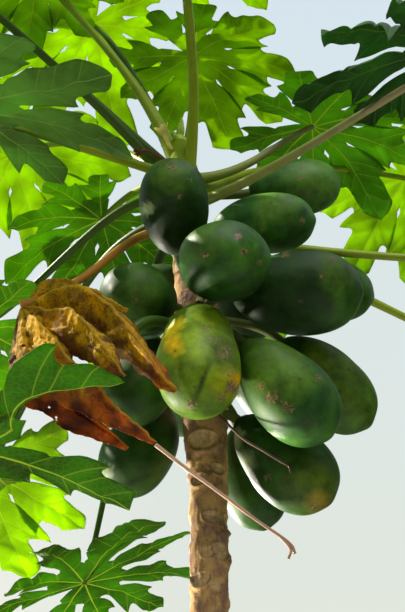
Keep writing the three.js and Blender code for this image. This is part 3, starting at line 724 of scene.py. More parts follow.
# How light or dark the rind of each fruit is painted: painted light for fruit in the light, painted shade for
# those under other fruit or behind the trunk
FRUIT_PAINTED_LIGHT = [0.8, 1.25, 1.55, 1.35, 0.8, 0.95, 1.3, 1.35, 1.0, 0.75, 0.8, 0.95, 0.65] + [0.7] * 6
# Sprays: number of the fruit, the pixel of the photograph that it is aimed at, its radius in
# millimetres, its strength and its colour
# Among the sprays, the light green on the tops of fruit and fruit 8's lighter middle are painted light, fruit
# 7's darker greens are painted shade on its sides, and the yellow, gold, amber and orange ones are the
# ripening rind's own colour
SPRAYS = [
    (1, (176, 222), 50, 0.7, RIND_SHADE), (1, (170, 172), 34, 0.45, RIND_LIGHT),
    (1, (147, 209), 12, 0.75, RIND_HIGHLIGHT), (2, (205, 238), 36, 0.3, RIND_LIGHT),
    (2, (250, 285), 40, 0.5, RIND_SHADE),
    (3, (275, 205), 36, 0.45, RIND_LIGHT), (4, (308, 182), 44, 0.45, RIND_LIGHT),
    (5, (275, 300), 84, 0.7, RIND_SHADE), (5, (335, 268), 34, 0.4, RIND_LIGHT),
    (7, (200, 350), 140, 0.9, paint(112, 138, 6)), (7, (178, 385), 34, 0.6, paint(84, 116, 20)),
    (7, (196, 342), 28, 0.7, paint(144, 168, 26)), (7, (222, 348), 30, 0.7, paint(62, 84, 16)),
    (7, (206, 312), 30, 0.6, paint(120, 140, 8)), (7, (160, 372), 20, 0.6, paint(60, 92, 18)),
    (7, (169, 330), 17, 1.0, RIND_YELLOW), (7, (173, 345), 14, 1.0, RIND_GOLD),
    (7, (178, 322), 12, 0.8, RIND_YELLOW), (7, (226, 384), 26, 0.7, paint(150, 150, 8)),
    (7, (237, 380), 13, 0.8, RIND_AMBER), (8, (276, 366), 62, 0.65, paint(102, 136, 22)),
    (9, (345, 385), 66, 0.5, paint(110, 140, 26)), (9, (318, 352), 26, 0.6, RIND_OLIVE),
    (10, (306, 488), 46, 0.5, paint(74, 96, 20)), (10, (318, 480), 34, 0.5, paint(96, 116, 16)),
    (10, (319, 502), 20, 0.45, paint(164, 130, 20)), (10, (233, 437), 18, 0.7, RIND_HIGHLIGHT),
    (10, (246, 460), 16, 0.6, RIND_HIGHLIGHT), (10, (270, 455), 40, 0.5, RIND_SHADE),
    (12, (140, 290), 50, 0.3, RIND_LIGHT), (14, (106, 474), 15, 0.5, RIND_HIGHLIGHT),
]
# Corky scars: number of the fruit, pixel, radius and strength
SCARS = [
    (1, (172, 166), 8, 0.8), (2, (238, 237), 6, 0.9), (3, (302, 221), 6, 0.9), (8, (272, 396), 9, 1.0),
    (7, (232, 388), 11, 0.9), (7, (224, 352), 10, 0.7), (7, (214, 340), 6, 0.7), (7, (206, 328), 6, 0.7),
    (7, (229, 372), 8, 0.7), (7, (222, 398), 8, 0.6), (1, (180, 196), 5, 0.7), (1, (190, 180), 4, 0.6),
    (2, (206, 256), 6, 0.8), (2, (244, 252), 6, 0.8), (5, (286, 254), 6, 0.8), (5, (322, 276), 5, 0.8),
    (5, (333, 258), 6, 0.8), (8, (262, 386), 8, 0.8), (8, (300, 352), 5, 0.6), (10, (300, 440), 6, 0.7),
    (4, (300, 178), 5, 0.7), (3, (262, 204), 4, 0.6), (9, (330, 360), 5, 0.6), (12, (134, 300), 5, 0.6),
    (8, (284, 405), 8, 0.7), (8, (291, 409), 6, 0.7), (7, (190, 404), 7, 0.7), (10, (314, 507), 5, 0.9),
    (8, (318, 378), 6, 0.7), (5, (352, 262), 5, 0.6), (7, (236, 392), 6, 0.5), (12, (112, 290), 5, 0.4),
    (7, (176, 318), 4, 0.6), (7, (222, 340), 4, 0.5), (2, (260, 262), 5, 0.5), (5, (300, 300), 4, 0.4),
    (10, (268, 478), 7, 0.5), (10, (236, 468), 5, 0.5),
]
# Dents: number of the fruit, pixel, radius and depth
DENTS = [
    (7, (176, 372), 22, 1.6), (7, (193, 403), 9, 3.0), (7, (222, 352), 20, 1.4), (8, (300, 395), 26, 1.8),
    (2, (205, 262), 22, 1.6), (10, (262, 470), 24, 2.0), (1, (190, 205), 26, 1.6), (14, (140, 478), 22, 2.2),
    (5, (300, 285), 30, 1.8),
]
# Seams: number of the fruit, first and last pixel, radius, depth, and how much painted shade darkens the
# crease. A seam with less than no shade is painted pale instead.
SEAMS = [
    (7, (210, 362), (194, 402), 5, 4.6, 0.85), (7, (166, 352), (176, 396), 12, 2.0, 0.25),
    (7, (226, 330), (230, 372), 12, 2.0, 0.3), (14, (120, 487), (158, 470), 6, 1.6, 0.5),
    (8, (262, 350), (290, 412), 12, 1.4, 0.2), (3, (262, 196), (262, 240), 7, 0.9, -0.35),
    (1, (152, 185), (160, 244), 12, 1.4, 0.2), (5, (345, 262), (350, 318), 6, 1.2, 0.4),
    (2, (190, 240), (204, 290), 12, 1.2, 0.2), (9, (352, 360), (366, 418), 12, 1.4, 0.2),
]
print("sprays:", len(SPRAYS), "scars:", len(SCARS), "dents:", len(DENTS), "seams:", len(SEAMS))

# %% Aiming a spray
SPRAY_FULL, SPRAY_SOFT, SPRAY_RAGGED, SPRAY_GRAIN = 1.2, 0.7, 0.35, 0.45
# How far past the middle of the fruit a spray still lands: at least so much, or a share of its radius
PAST_MIDDLE, PAST_SHARE = 8, 0.4
SEAM_STEPS, SEAM_END = 14, 0.12


def aim(pixel):
    """The way from the eye through a pixel of the photograph."""
    right, down = pixel[0] - PHOTO_WIDE / 2, pixel[1] - PHOTO_TALL / 2
    forward = np.array([0, math.cos(LOOK_UP), math.sin(LOOK_UP)])
    up = np.array([0, -math.sin(LOOK_UP), math.cos(LOOK_UP)])
    way = forward * FOCAL_PIXELS + np.array([1, 0, 0]) * right - up * down
    return way / np.linalg.norm(way)


def spray(points, centre, pixel, size):
    """How much of a spray aimed at a pixel lands on each point of the side that faces the eye."""
    eye = np.array(EYE) / MILLIMETRE
    way = aim(pixel)
    off = points - eye
    along = off @ way
    beside = np.linalg.norm(off - along[..., None] * way, axis=-1)
    facing = along < (centre - eye) @ way + max(PAST_MIDDLE, PAST_SHARE * size)
    edge = size * (1 + SPRAY_RAGGED * roughness(points / (SPRAY_GRAIN * size), 21))
    return np.clip(SPRAY_FULL - beside / edge, 0, 1) ** SPRAY_SOFT * facing


def seam(points, centre, first, last, size):
    """A row of sprays from one pixel to another, weaker at both ends."""
    cover = np.zeros(points.shape[:-1])
    for share in np.linspace(0, 1, SEAM_STEPS):
        pixel = np.array(first) * (1 - share) + np.array(last) * share
        strength = math.sin(math.pi * (SEAM_END + (1 - 2 * SEAM_END) * share))
        cover = np.maximum(cover, spray(points, centre, pixel, size) * strength)
    return cover


def coat(below, colour, cover):
    """A colour laid over others as far as it covers them."""
    return np.asarray(below) * (1 - cover) + np.asarray(colour) * cover


def rows_of(table, number):
    """The rows of a table that belong to one fruit."""
    return [row[1:] for row in table if row[0] == number]


print("the middle of the photograph looks along", aim((PHOTO_WIDE / 2, PHOTO_TALL / 2)).round(3))

# %% [markdown]
# ## The finished fruit
# Dents and seams push the plain shape inwards. Then the base colour of each point is worked out: dark
# to middle green by slow noise, made lighter or darker for each fruit as painted light and shade, the
# sprays over it, and the seams last. The corky scars are a number on the points, because they take
# their colour and grain from the finish.

# %% Fruit
DENT_SOFT = 1.5
# Slow and quick change of the green: size in millimetres and strength
SLOW_GREEN, QUICK_GREEN, GREEN_START = (55, 0.5), (18, 0.25), 0.35


def marked_fruit(number, row):
    """The mesh of a fruit with its dents, seams, colours and scars."""
    points, ring, centre = plain_fruit(number, row)
    for pixel, size, depth in rows_of(DENTS, number):
        points -= depth * (spray(points, centre, pixel, size) ** DENT_SOFT)[..., None] * ring
    for first, last, size, depth, _ in rows_of(SEAMS, number):
        points -= depth * seam(points, centre, first, last, size)[..., None] * ring
    flat = points.reshape(-1, 3)
    slow = roughness(flat / SLOW_GREEN[0] + number * 3, 41) * SLOW_GREEN[1]
    quick = roughness(flat / QUICK_GREEN[0], 42) * QUICK_GREEN[1]
    green = np.clip(GREEN_START + slow + quick, 0, 1)[:, None]
    # Each fruit's whole rind is made lighter or darker here as painted light and shade
    skin = coat(RIND_DARK, RIND_MIDDLE, green) * FRUIT_PAINTED_LIGHT[number - 1]
    for pixel, size, strength, colour in rows_of(SPRAYS, number):
        skin = coat(skin, colour, (strength * spray(flat, centre, pixel, size))[:, None])
    # A seam's crease gets painted shade, and a pale seam a lighter green
    for first, last, size, _, crease_shade in rows_of(SEAMS, number):
        cover = (abs(crease_shade) * seam(flat, centre, first, last, size))[:, None]
        skin = coat(skin, RIND_SHADE if crease_shade > 0 else RIND_LIGHT, cover)
    torn = 0.5 + 0.9 * roughness(flat / 3.5, 43) + 0.4 * roughness(flat / 1.6, 44)
    torn = np.clip(torn * 1.6, 0, 1)
    scar = np.zeros(len(flat))
    for pixel, size, strength in rows_of(SCARS, number):
        patch = np.clip(4 * spray(flat, centre, pixel, size) - 1, 0, 1)
        scar = np.maximum(scar, strength * patch * torn)
    faces = grid_faces(*points.shape[:2], closed=True)
    return new_mesh(f"fruit_{number:02d}_rind", flat, faces, {"skin": skin, "scar": scar})


fruit_points = 0
for number, row in enumerate(FRUIT, 1):
    fruit_mesh = marked_fruit(number, row)
    fruit_points += len(fruit_mesh.vertices)
    add_piece(f"fruit_{number:02d}_rind", fruit_mesh, rind, f"fruit_{number:02d}")
print("points on all the fruit:", fruit_points)

# %% [markdown]
# ## Stalks
# Leaf stalks, fruit stalks and dry stalks all follow a path and are round. One Geometry Nodes tree
# sweeps a ring along a path whose points carry their own radius, and keeps the share of the length as
# a number for the finish.

# %% The stalk tree
stalk_tree = bpy.data.node_groups.new("round stalk", "GeometryNodeTree")


def stalk_socket(word, kind, direction="INPUT"):
    """A new socket of the stalk tree. A modifier sets it by the identifier that this gives back."""
    made = stalk_tree.interface.new_socket(word, in_out=direction, socket_type="NodeSocket" + kind)
    return made.identifier


stalk_socket("Path", "Geometry")
SIDES_INPUT = stalk_socket("Sides", "Int")
FINISH_INPUT = stalk_socket("Finish", "Material")
stalk_socket("Stalk", "Geometry", "OUTPUT")
stalk_in = put(stalk_tree, "NodeGroupInput")
measure = put(stalk_tree, "GeometryNodeSplineParameter")
keep_share = put(stalk_tree, "GeometryNodeStoreNamedAttribute",
                 {"Geometry": stalk_in.outputs["Path"], "Name": "along", "Value": measure.outputs["Factor"]},
                 data_type="FLOAT", domain="POINT")
ring = put(stalk_tree, "GeometryNodeCurvePrimitiveCircle",
           {"Resolution": stalk_in.outputs["Sides"], "Radius": 1.0})
sweep = put(stalk_tree, "GeometryNodeCurveToMesh",
            {"Curve": keep_share.outputs[0], "Profile Curve": ring.outputs[0], "Fill Caps": True})
# Where this node has a Scale socket, it takes the radius of the path through it and not by itself
if "Scale" in sweep.inputs:
    own_radius = put(stalk_tree, "GeometryNodeInputRadius")
    stalk_tree.links.new(own_radius.outputs[0], sweep.inputs["Scale"])
smooth = put(stalk_tree, "GeometryNodeSetShadeSmooth", {"Geometry": sweep.outputs[0]})
real = put(stalk_tree, "GeometryNodeRealizeInstances", {"Geometry": smooth.outputs[0]})
coated = put(stalk_tree, "GeometryNodeSetMaterial",
             {"Geometry": real.outputs[0], "Material": stalk_in.outputs["Finish"]})
put(stalk_tree, "NodeGroupOutput", {"Stalk": coated.outputs[0]})
print("stalk tree nodes:", len(stalk_tree.nodes))


# %% Stalks along a path
def add_stalk(name, points, radii, sides, finish, node):
    """A round stalk along a path in millimetres, with a radius for each point, as a finished piece."""
    path = bpy.data.curves.new(name, "CURVE")
    path.dimensions = "3D"
    line = path.splines.new("POLY")
    line.points.add(len(points) - 1)
    places = np.concatenate([np.asarray(points) * MILLIMETRE, np.ones((len(points), 1))], 1)
    line.points.foreach_set("co", places.ravel())
    line.points.foreach_set("radius", np.asarray(radii) * MILLIMETRE)
    carrier = new_object(name, path)
    sweep_along = carrier.modifiers.new("stalk", "NODES")
    sweep_along.node_group = stalk_tree
    sweep_along[SIDES_INPUT] = sides
    sweep_along[FINISH_INPUT] = finish
    add_piece(name, finished_mesh(carrier), finish, node)


def bow(root, first, second, end, steps):
    """A curve from root to end that leaves and arrives by the two places between."""
    share = np.linspace(0, 1, steps + 1)[:, None]
    rest = 1 - share
    between = 3 * rest ** 2 * share * first + 3 * rest * share ** 2 * second
    return rest ** 3 * root + between + share ** 3 * end


def through(places, steps):
    """A smooth line through some places, even in speed between them."""
    places = np.asarray(places, float)
    ends = np.concatenate([[2 * places[0] - places[1]], places, [2 * places[-1] - places[-2]]])
    line = []
    for k in range(len(places) - 1):
        a, b, c, d = ends[k:k + 4]
        for share in np.linspace(0, 1, steps, endpoint=False):
            line.append(0.5 * (2 * b + (c - a) * share + (2 * a - 5 * b + 4 * c - d) * share ** 2
                               + (3 * b - a - 3 * c + d) * share ** 3))
    return np.array(line + [places[-1]])


print("a path through 3 places in 5 steps has", len(through(np.eye(3), 5)), "points")

# %% [markdown]
# ## Finishes of the leaf
# A papaya blade is thin. Where the sun stands on its upper side it glows lime from below, so the
# finish mixes a plain surface with one that lets light through. Ribs and side veins are paler and
# are drawn from distances that the mesh carries, and a fine net of veins lies between them.

# %% Blade finishes
VEIN = paint(186, 204, 66)
RIB_WIDTH, SIDE_VEIN_WIDTH = 0.0013, 0.0006
NET_SCALE, NET_STRENGTH = 120.0, 0.11


def blade_finish(name, face, through_colour, share_through, vein=VEIN):
    finish, tree = new_finish(name)
    fine = grain(tree, 300.0, 0.25, 0.0008)
    cloud = limits(tree, noise(tree, 11.0, 3.0).outputs["Fac"], 0.35, 0.65)
    net = put(tree, "ShaderNodeTexVoronoi", {"Vector": here(tree), "Scale": NET_SCALE},
              feature="DISTANCE_TO_EDGE")
    net_mask = limits(tree, net.outputs["Distance"], 0.02, 0.12, NET_STRENGTH, 0)
    from_rib = attribute(tree, "rib").outputs["Fac"]
    from_side_vein = attribute(tree, "side_vein").outputs["Fac"]
    rib_mask = limits(tree, from_rib, 0.6 * RIB_WIDTH, 1.6 * RIB_WIDTH, 1, 0)
    side_mask = limits(tree, from_side_vein, 0.5 * SIDE_VEIN_WIDTH, 2.0 * SIDE_VEIN_WIDTH, 0.5, 0)
    veins = arithmetic(tree, "MAXIMUM", arithmetic(tree, "MAXIMUM", rib_mask, side_mask), net_mask)
    colour = blend_colours(tree, veins, blend_colours(tree, cloud, dimmed(face, 0.5), face), vein)
    lit = blend_colours(tree, cloud, dimmed(through_colour, 0.6), through_colour)
    glow = blend_colours(tree, veins, lit, vein)
    relief = put(tree, "ShaderNodeBump", {"Strength": 0.35, "Distance": 0.0012, "Height": veins,
                                          "Normal": fine.outputs["Normal"]})
    bent = relief.outputs["Normal"]
    face_shader = plain_surface(tree, colour, 0.52, bent, gloss=0.15)
    surface(tree, thin_surface(tree, share_through, face_shader, glow, Normal=bent))
    return finish


# A copy of the blade finish with painted light: a brighter face and glow for sunlit leaves
blade_sunlit = blade_finish("blade_sunlit", paint(96, 150, 8), paint(200, 240, 6), 0.62)
blade_green = blade_finish("blade_green", paint(74, 130, 12), paint(156, 218, 6), 0.48)
# A darker copy, painted shade for a blade whose lower face the light doesn't reach
blade_deep_shade = blade_finish("blade_deep_shade", paint(38, 84, 26), paint(76, 150, 14), 0.3, paint(96, 130, 50))
# A paler grey-green copy, painted light and painted sheen for a foreground blade
blade_grey_sheen = blade_finish("blade_grey_sheen", paint(112, 160, 70), paint(132, 200, 30), 0.36,
                          paint(154, 188, 90))
blade_shade = blade_finish("blade_shade", paint(54, 100, 8), paint(120, 186, 6), 0.42)
print("nodes of a blade finish:", len(blade_sunlit.node_tree.nodes))

# %% [markdown]
# ## Finishes of the stalks
# A leaf stalk is a smooth hollow tube, olive to purplish, and its colour changes from the root to the
# blade. The number that the stalk tree keeps mixes the two colours, and noise dims them in spots.

# %% Stalk finishes
def stalk_finish(name, near, far, rough):
    """A stalk that goes from the colour near the trunk to the colour far from it."""
    finish, tree = new_finish(name)
    fine = grain(tree, 240.0, 0.25, 0.0008)
    colour = blend_colours(tree, attribute(tree, "along").outputs["Fac"], near, far)
    spots = limits(tree, noise(tree, 30.0, 4.0).outputs["Fac"], 0.5, 0.75, 0, 0.6)
    colour = blend_colours(tree, spots, colour, dimmed(near, 0.6))
    surface(tree, plain_surface(tree, colour, rough, fine.outputs["Normal"], gloss=0.22))
    return finish


stalk_green = stalk_finish("stalk_green", paint(150, 166, 30), paint(120, 142, 34), 0.42)
stalk_grey = stalk_finish("stalk_grey", paint(132, 148, 40), paint(144, 126, 106), 0.5)
# A dark copy of the stalk green, painted shade for stalks that lie in shadow
stalk_shaded = stalk_finish("stalk_shaded", paint(74, 100, 34), paint(64, 92, 34), 0.42)
stalk_brown = stalk_finish("stalk_brown", paint(170, 122, 34), paint(168, 112, 40), 0.55)
stalk_short = stalk_finish("stalk_short", paint(78, 92, 34), paint(96, 100, 48), 0.6)
print("nodes of a stalk finish:", len(stalk_green.node_tree.nodes))

# %% [markdown]
# ## The outline of a lobe
# Nine lobes spread from the end of the stalk. Each has its own rib and is cut into two rounded teeth a
# side and a tip, with a side vein that runs out to each tooth. Rows of points leave the rib at the
# slant of the side veins, so the veins lie on the rows. Near the middle the rows of two neighbours end
# on the line halfway between them and weld into one web.

# %% The rule of the outline
LOBES, LOBE_SPREAD = 9, 150
LOBE_STEP = 2 * LOBE_SPREAD / (LOBES - 1)
HALF_STEP, BACK_HALF = math.radians(LOBE_STEP / 2), math.radians(180 - LOBE_SPREAD)
SLANT = math.radians(48)
WEB_REACH, WEB_ROWS, WEB_EASE = 0.29, 6, 0.035
BACK_REACH, BACK_WIDENS = 0.06, 0.25
TOOTH_PLACES, TOOTH_WIDTHS = [0.36, 0.72], [0.25, 0.145]
GAP_PLACES, GAP_WIDTHS = [0.0, 0.07, 0.50, 1.0], [0.12, 0.105, 0.145, 0.0]
ROWS_BETWEEN = 8
TIP_POINTED, GAP_ROUNDED, TOOTH_ROUNDED = 1.2, 2.4, 0.75
# Broadness of all lobes of a leaf, and of one half of a lobe, since a folded lobe shows little of it
BROADNESS = {1: 0.86, 10: 0.74, 5: 0.82, 2: 0.9, 7: 0.9, 12: 0.92}
HALF_WIDTHS = {(11, 8, -1): 1.4, (11, 8, 1): 0.1, (11, 0, 1): 0.45}


def margin_rows(seed, cut):
    """Rows between the web and the tip: their places and widths, and where the side veins are."""
    change = np.random.default_rng(seed)
    teeth = list(zip(TOOTH_PLACES, TOOTH_WIDTHS))
    marks = [(GAP_PLACES[0], GAP_WIDTHS[0], False), (GAP_PLACES[1], GAP_WIDTHS[1], False)]
    for (place, width), gap_place, gap_width in zip(teeth, GAP_PLACES[2:], GAP_WIDTHS[2:]):
        marks.append((place, width * change.uniform(0.8, 1.15), True))
        shallow = gap_width + (1 - cut) * (0.8 * width - gap_width) * (gap_place < 1)
        marks.append((gap_place, shallow * change.uniform(0.8, 1.1), False))
    places, widths = [marks[0][0]], [marks[0][1]]
    for (from_place, from_width, _), (to_place, to_width, to_tooth) in zip(marks, marks[1:]):
        for step in range(1, ROWS_BETWEEN + 1):
            part = step / ROWS_BETWEEN
            fall = part ** TIP_POINTED if to_place == 1 else 1 - (1 - part) ** GAP_ROUNDED
            rise = math.sin(math.pi / 2 * part) ** TOOTH_ROUNDED if to_tooth else fall
            places.append(from_place + (to_place - from_place) * part)
            widths.append(from_width + (to_width - from_width) * rise)
    veins = [place for place, _, _ in marks[1:-1]]
    return np.array(places), np.array(widths), np.array(veins)


def half_outline(seed, lobe, hand, span, length, web_row, cut):
    """For each row of half a lobe: where it leaves the rib, how far it reaches, how near a vein it is."""
    places, widths, veins = margin_rows(seed * 100 + lobe * 2 + (hand > 0), cut)
    widths = widths * HALF_WIDTHS.get((seed, lobe, hand), 1) * BROADNESS.get(seed, 1)
    in_web = np.linspace(0, 1, WEB_ROWS) * web_row
    rows = np.concatenate([in_web[:-1], web_row + (length - web_row) * places])
    at_back = (lobe, hand) in ((0, -1), (LOBES - 1, 1))
    half = BACK_HALF if at_back else HALF_STEP
    web_reach = in_web * math.sin(half) / math.sin(SLANT - half)
    if at_back:
        web_reach = np.minimum(web_reach, BACK_REACH * span + in_web * BACK_WIDENS)
    ease = np.exp(-places / WEB_EASE)
    own = widths * length / math.sin(SLANT) * (1 - ease) + web_reach[-1] * ease
    reach = np.concatenate([web_reach[:-1], own])
    reach[-1] = 0
    vein_rows = web_row + (length - web_row) * veins
    return rows, reach, np.abs(rows[:, None] - vein_rows).min(1) * math.sin(SLANT)


print("rows between web and tip:", len(margin_rows(1, 1)[0]))

# %% [markdown]
# ## The leaf blade
# A real blade is never flat. It sags away from the stalk, each lobe is folded along its rib, droops
# and twists, and the skin is puffed between the side veins. All of these lift a point off the flat
# outline by some rule, and slow noise adds the waves. A thin wall then turns the sheet into a solid.

# %% Lengths and waves of the lobes
LOBE_LENGTHS, LOBE_VARIATION = [1, 0.97, 0.9, 0.8, 0.68], 0.06
# By number of the leaf: lobes that the photograph shows longer or shorter than the rule
LOBE_SHARES = {
    2: [1, 1, 1.16, 1.25, 1.2, 1.1, 1, 1, 1], 10: [1, 1, 1.12, 1.26, 1, 0.95, 0.95, 1, 1],
    11: [1.08, 0.3, 0.6, 0.6, 0.6, 0.6, 0.6, 0.3, 1.02], 18: [1.2, 1.2, 1.1, 1, 1, 1, 1, 1.1, 1.2],
}
# Waves: size in millimetres, how far apart the noise of two leaves lies, seed and strength
WAVES = [(60, 5.3, 51, 1), (22, 3.1, 52, 0.45)]


def lobe_length(seed, lobe, span):
    length = span * LOBE_LENGTHS[abs(lobe - (LOBES - 1) // 2)]
    length *= 1 + LOBE_VARIATION * math.sin(2.1 * lobe + 1.7 * (seed - 1))
    return length * LOBE_SHARES.get(seed, [1] * LOBES)[lobe]


def blade_waves(x, y, seed):
    """Slow waves over the flat blade, other ones for each leaf."""
    total = np.zeros_like(x)
    for size, apart, noise_seed, strength in WAVES:
        place = np.stack([x / size, y / size, np.full_like(x, seed * apart)], -1)
        total += strength * roughness(place, noise_seed)
    return total


print("lobes of the first leaf:", [round(lobe_length(1, lobe, 340)) for lobe in range(LOBES)], "mm")

# %% The blade in space
ACROSS = np.array([0, 0.035, 0.14, 0.3, 0.48, 0.66, 0.84, 1.0])
DROOPS, TWISTS, BENDS = (-0.02, 0.12), (-0.3, 0.3), (-0.07, 0.07)
PUFF_WIDE, PUFF_FROM_RIB = 9, 12
ROLL_SHARE, ARCH_EARLY, RIB_THINS = 0.2, 0.7, 1.6
# How far a lobe bends or arches sideways, by leaf and lobe
LOBE_BENDS = {(11, 0): 0.14}
LOBE_ARCHES = {(11, 8): -0.185}


def blade_mesh(name, seed, span, sag, centre, axes, cut, fold, wave, curl, pucker):
    """A blade of nine lobes. The axes are its way forward, its side and its upper face."""
    forward, side, normal = axes
    web_row = WEB_REACH * span * math.sin(SLANT - HALF_STEP) / math.sin(SLANT)
    change = np.random.default_rng(1000 + seed)
    all_points, all_faces, ribs, side_veins = [], [], [], []
    for lobe in range(LOBES):
        angle = math.radians(-LOBE_SPREAD + lobe * LOBE_STEP)
        length = lobe_length(seed, lobe, span)
        droop, twist, bend = (change.uniform(*between) for between in (DROOPS, TWISTS, BENDS))
        bend += LOBE_BENDS.get((seed, lobe), 0)
        arch = LOBE_ARCHES.get((seed, lobe), 0)
        for hand in (-1, 1):
            rows, reach, nearest = half_outline(seed, lobe, hand, span, length, web_row, cut)
            spread = reach[:, None] * ACROSS
            x = rows[:, None] + spread * math.cos(SLANT)
            y = hand * spread * math.sin(SLANT)
            beside = np.abs(y)
            tip_share = np.clip((rows - web_row) / (length - web_row), 0, 1)[:, None]
            lift = fold * beside - droop * length * tip_share ** 2 + twist * hand * beside * tip_share
            puff = np.sin(np.clip(nearest / PUFF_WIDE, 0, 1) * np.pi / 2)[:, None]
            pillow = pucker * puff * np.minimum(1, beside / PUFF_FROM_RIB)
            along = np.clip((x - web_row) / (length - web_row), 0, 1)
            y = y + bend * length * tip_share ** 2 + arch * length * np.sin(np.pi * along ** ARCH_EARLY)
            flat_x = x * math.cos(angle) - y * math.sin(angle)
            flat_y = x * math.sin(angle) + y * math.cos(angle)
            out = np.sqrt(flat_x ** 2 + flat_y ** 2)
            waves = wave * blade_waves(flat_x, flat_y, seed) * np.clip(out / span, 0, 1)
            rolled = curl * np.clip(beside / (ROLL_SHARE * span), 0, 1) ** 2 * ROLL_SHARE * span
            up = lift + pillow + waves - rolled - sag * out ** 2 / span
            points = centre + flat_x[..., None] * forward + flat_y[..., None] * side + up[..., None] * normal
            faces = grid_faces(*points.shape[:2]) + sum(len(earlier) for earlier in all_points)
            all_faces.append(faces if hand > 0 else faces[:, ::-1])
            all_points.append(points.reshape(-1, 3))
            ribs.append((beside * (1 + RIB_THINS * tip_share) * MILLIMETRE).reshape(-1))
            side_veins.append(np.repeat(nearest * MILLIMETRE, len(ACROSS)))
    values = {"rib": np.concatenate(ribs), "side_vein": np.concatenate(side_veins)}
    return new_mesh(name, np.concatenate(all_points), np.concatenate(all_faces), values)


def thicken(name, mesh, thickness):
    """Gives a sheet a wall, half of it on either side."""
    carrier = new_object(name, mesh)
    wall = carrier.modifiers.new("wall", "SOLIDIFY")
    wall.thickness = thickness * MILLIMETRE
    wall.offset = 0
    return finished_mesh(carrier)


print("columns of points across half a lobe:", len(ACROSS))

# %% [markdown]
# ## Where the leaves stand
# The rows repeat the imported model's rule: the blade's middle, the root of the stalk, the way the blade
# faces, its size and its sag, and how the stalk leaves the trunk. Each row also names its finishes. A
# stalk is a bow that springs from the trunk and arches over to the blade.

# %% The table of leaves
LEAVES = [
    # hub turn, height, reach; root; faces turn, fall, roll; span; sag; leaves the trunk by; finishes
    ((-52, 3182, 474), 3262, (-15, 5, 0), 340, 0.25, (-30, -25), blade_grey_sheen, stalk_green),
    ((-153, 3862, 291), 3285, (-150, 12, 0), 240, 0.15, None, blade_sunlit, stalk_shaded),
    ((160, 3712, 200), 3262, (120, 8, 0), 240, 0.2, (165, 50), blade_sunlit, stalk_green),
    ((115, 3486, 311), 3258, (100, 5, 0), 250, 0.2, (90, 5), blade_green, stalk_grey),
    ((52, 3240, 589), 3205, (15, 12, 0), 340, 0.3, (30, -30), blade_deep_shade, stalk_grey),
    ((124, 3513, 600), 3210, (124, 25, 0), 260, 0.25, None, blade_sunlit, stalk_green),
    ((-156, 3424, 391), 3245, (-150, 10, 0), 230, 0.2, None, blade_green, stalk_green),
    ((-107, 3020, 419), 3190, (-110, 15, 0), 270, 0.2, (-40, 15), blade_green, stalk_shaded),
    ((-134, 2881, 592), 3172, (-150, 20, 0), 280, 0.2, (-105, 10), blade_sunlit, stalk_shaded),
    ((-161, 2780, 780), 3200, (60, -18, 5), 290, 0.12, (-161, 14), blade_shade, stalk_shaded),
    ((-26, 2417, 665), 2932, (-91, 6, 11), 321, 0.15, None, blade_shade, stalk_shaded),
    ((100, 3860, 70), 3285, (20, 3, 0), 280, 0.2, (120, 75), blade_sunlit, stalk_green),
    ((-96, 3800, 230), 3275, (-90, 14, 0), 260, 0.2, (-60, 69), blade_sunlit, stalk_green),
    ((-72, 3673, 464), 3250, (-60, 15, 0), 300, 0.25, (-76, 45), blade_green, stalk_shaded),
    ((93, 3090, 636), 3145, (93, 14, 0), 290, 0.2, (108, 0), blade_green, stalk_green),
    ((113, 2975, 826), 3099, (118, 30, 0), 300, 0.3, (120, 21), blade_green, stalk_green),
    ((-104, 4005, 340), 3240, (-120, 15, 0), 260, 0.2, (-55, 70), blade_sunlit, stalk_green),
    ((-150, 3780, 700), 3195, (-150, 20, 0), 290, 0.25, None, blade_sunlit, stalk_green),
    ((-47, 3500, 745), 3207, (-45, 20, 0), 320, 0.25, (-95, 60), blade_green, stalk_shaded),
    ((5, 3741, 420), 3229, (5, 15, 0), 300, 0.25, (30, 68), blade_green, stalk_green),
    ((126, 3126, 1030), 3126, (128, 25, 0), 320, 0.3, (126, 16), blade_green, stalk_green),
    ((178, 3330, 640), 3120, (178, 6, 0), 300, 0.2, None, blade_sunlit, stalk_green),
]
BLADE_THICK = 0.9
# How a blade is folded, waved, rolled at its edges and puffed between its veins
COMMON_BLADE = {"fold": 0.10, "wave": 14, "curl": 0.12, "pucker": 1.8}
# By number: blades that are curled more than the others, and how deep the margin is cut
CURLED_BLADES = {5: {"fold": 0.22, "wave": 26, "curl": 0.9, "pucker": 5.5}}
CUTS = {1: 0.6, 11: 0.9, 10: 1.3}
# The low leaf hangs in front of the trunk, and its stalk goes round the fruit by these places
LOW_LEAF, LOW_STALK_STEPS = 11, 9
LOW_STALK_BY = [(-104, -282, 2856), (-190, -288, 2752), (-285, -390, 2650)]
STALK_BASE, STALK_END, STALK_STEPS, STALK_SIDES = 9.5, 5.5, 28, 14
STALK_FLARE, FLARE_FADE = 0.95, 13
BOW_SHARE, LAUNCH_LIFT, LAUNCH_STEEPEST, ARRIVE_DROP = 0.35, 22, 62, 14


def leaf_path(number, hub, root, leaves):
    """The line of a leaf stalk from the trunk's middle to the blade."""
    start, end = trunk_axis(root), round_trunk(*hub)
    if number == LOW_LEAF:
        return through([start, *LOW_STALK_BY, end], LOW_STALK_STEPS)
    way = (end - start) / np.linalg.norm(end - start)
    rise = math.degrees(math.asin(way[2]))
    launch = heading(*(leaves or (hub[0], min(rise + LAUNCH_LIFT, LAUNCH_STEEPEST))))
    arrive = way if leaves else heading(hub[0], rise - ARRIVE_DROP)
    bow_length = np.linalg.norm(end - start) * BOW_SHARE
    return bow(start, start + launch * bow_length, end - arrive * bow_length, end, STALK_STEPS)


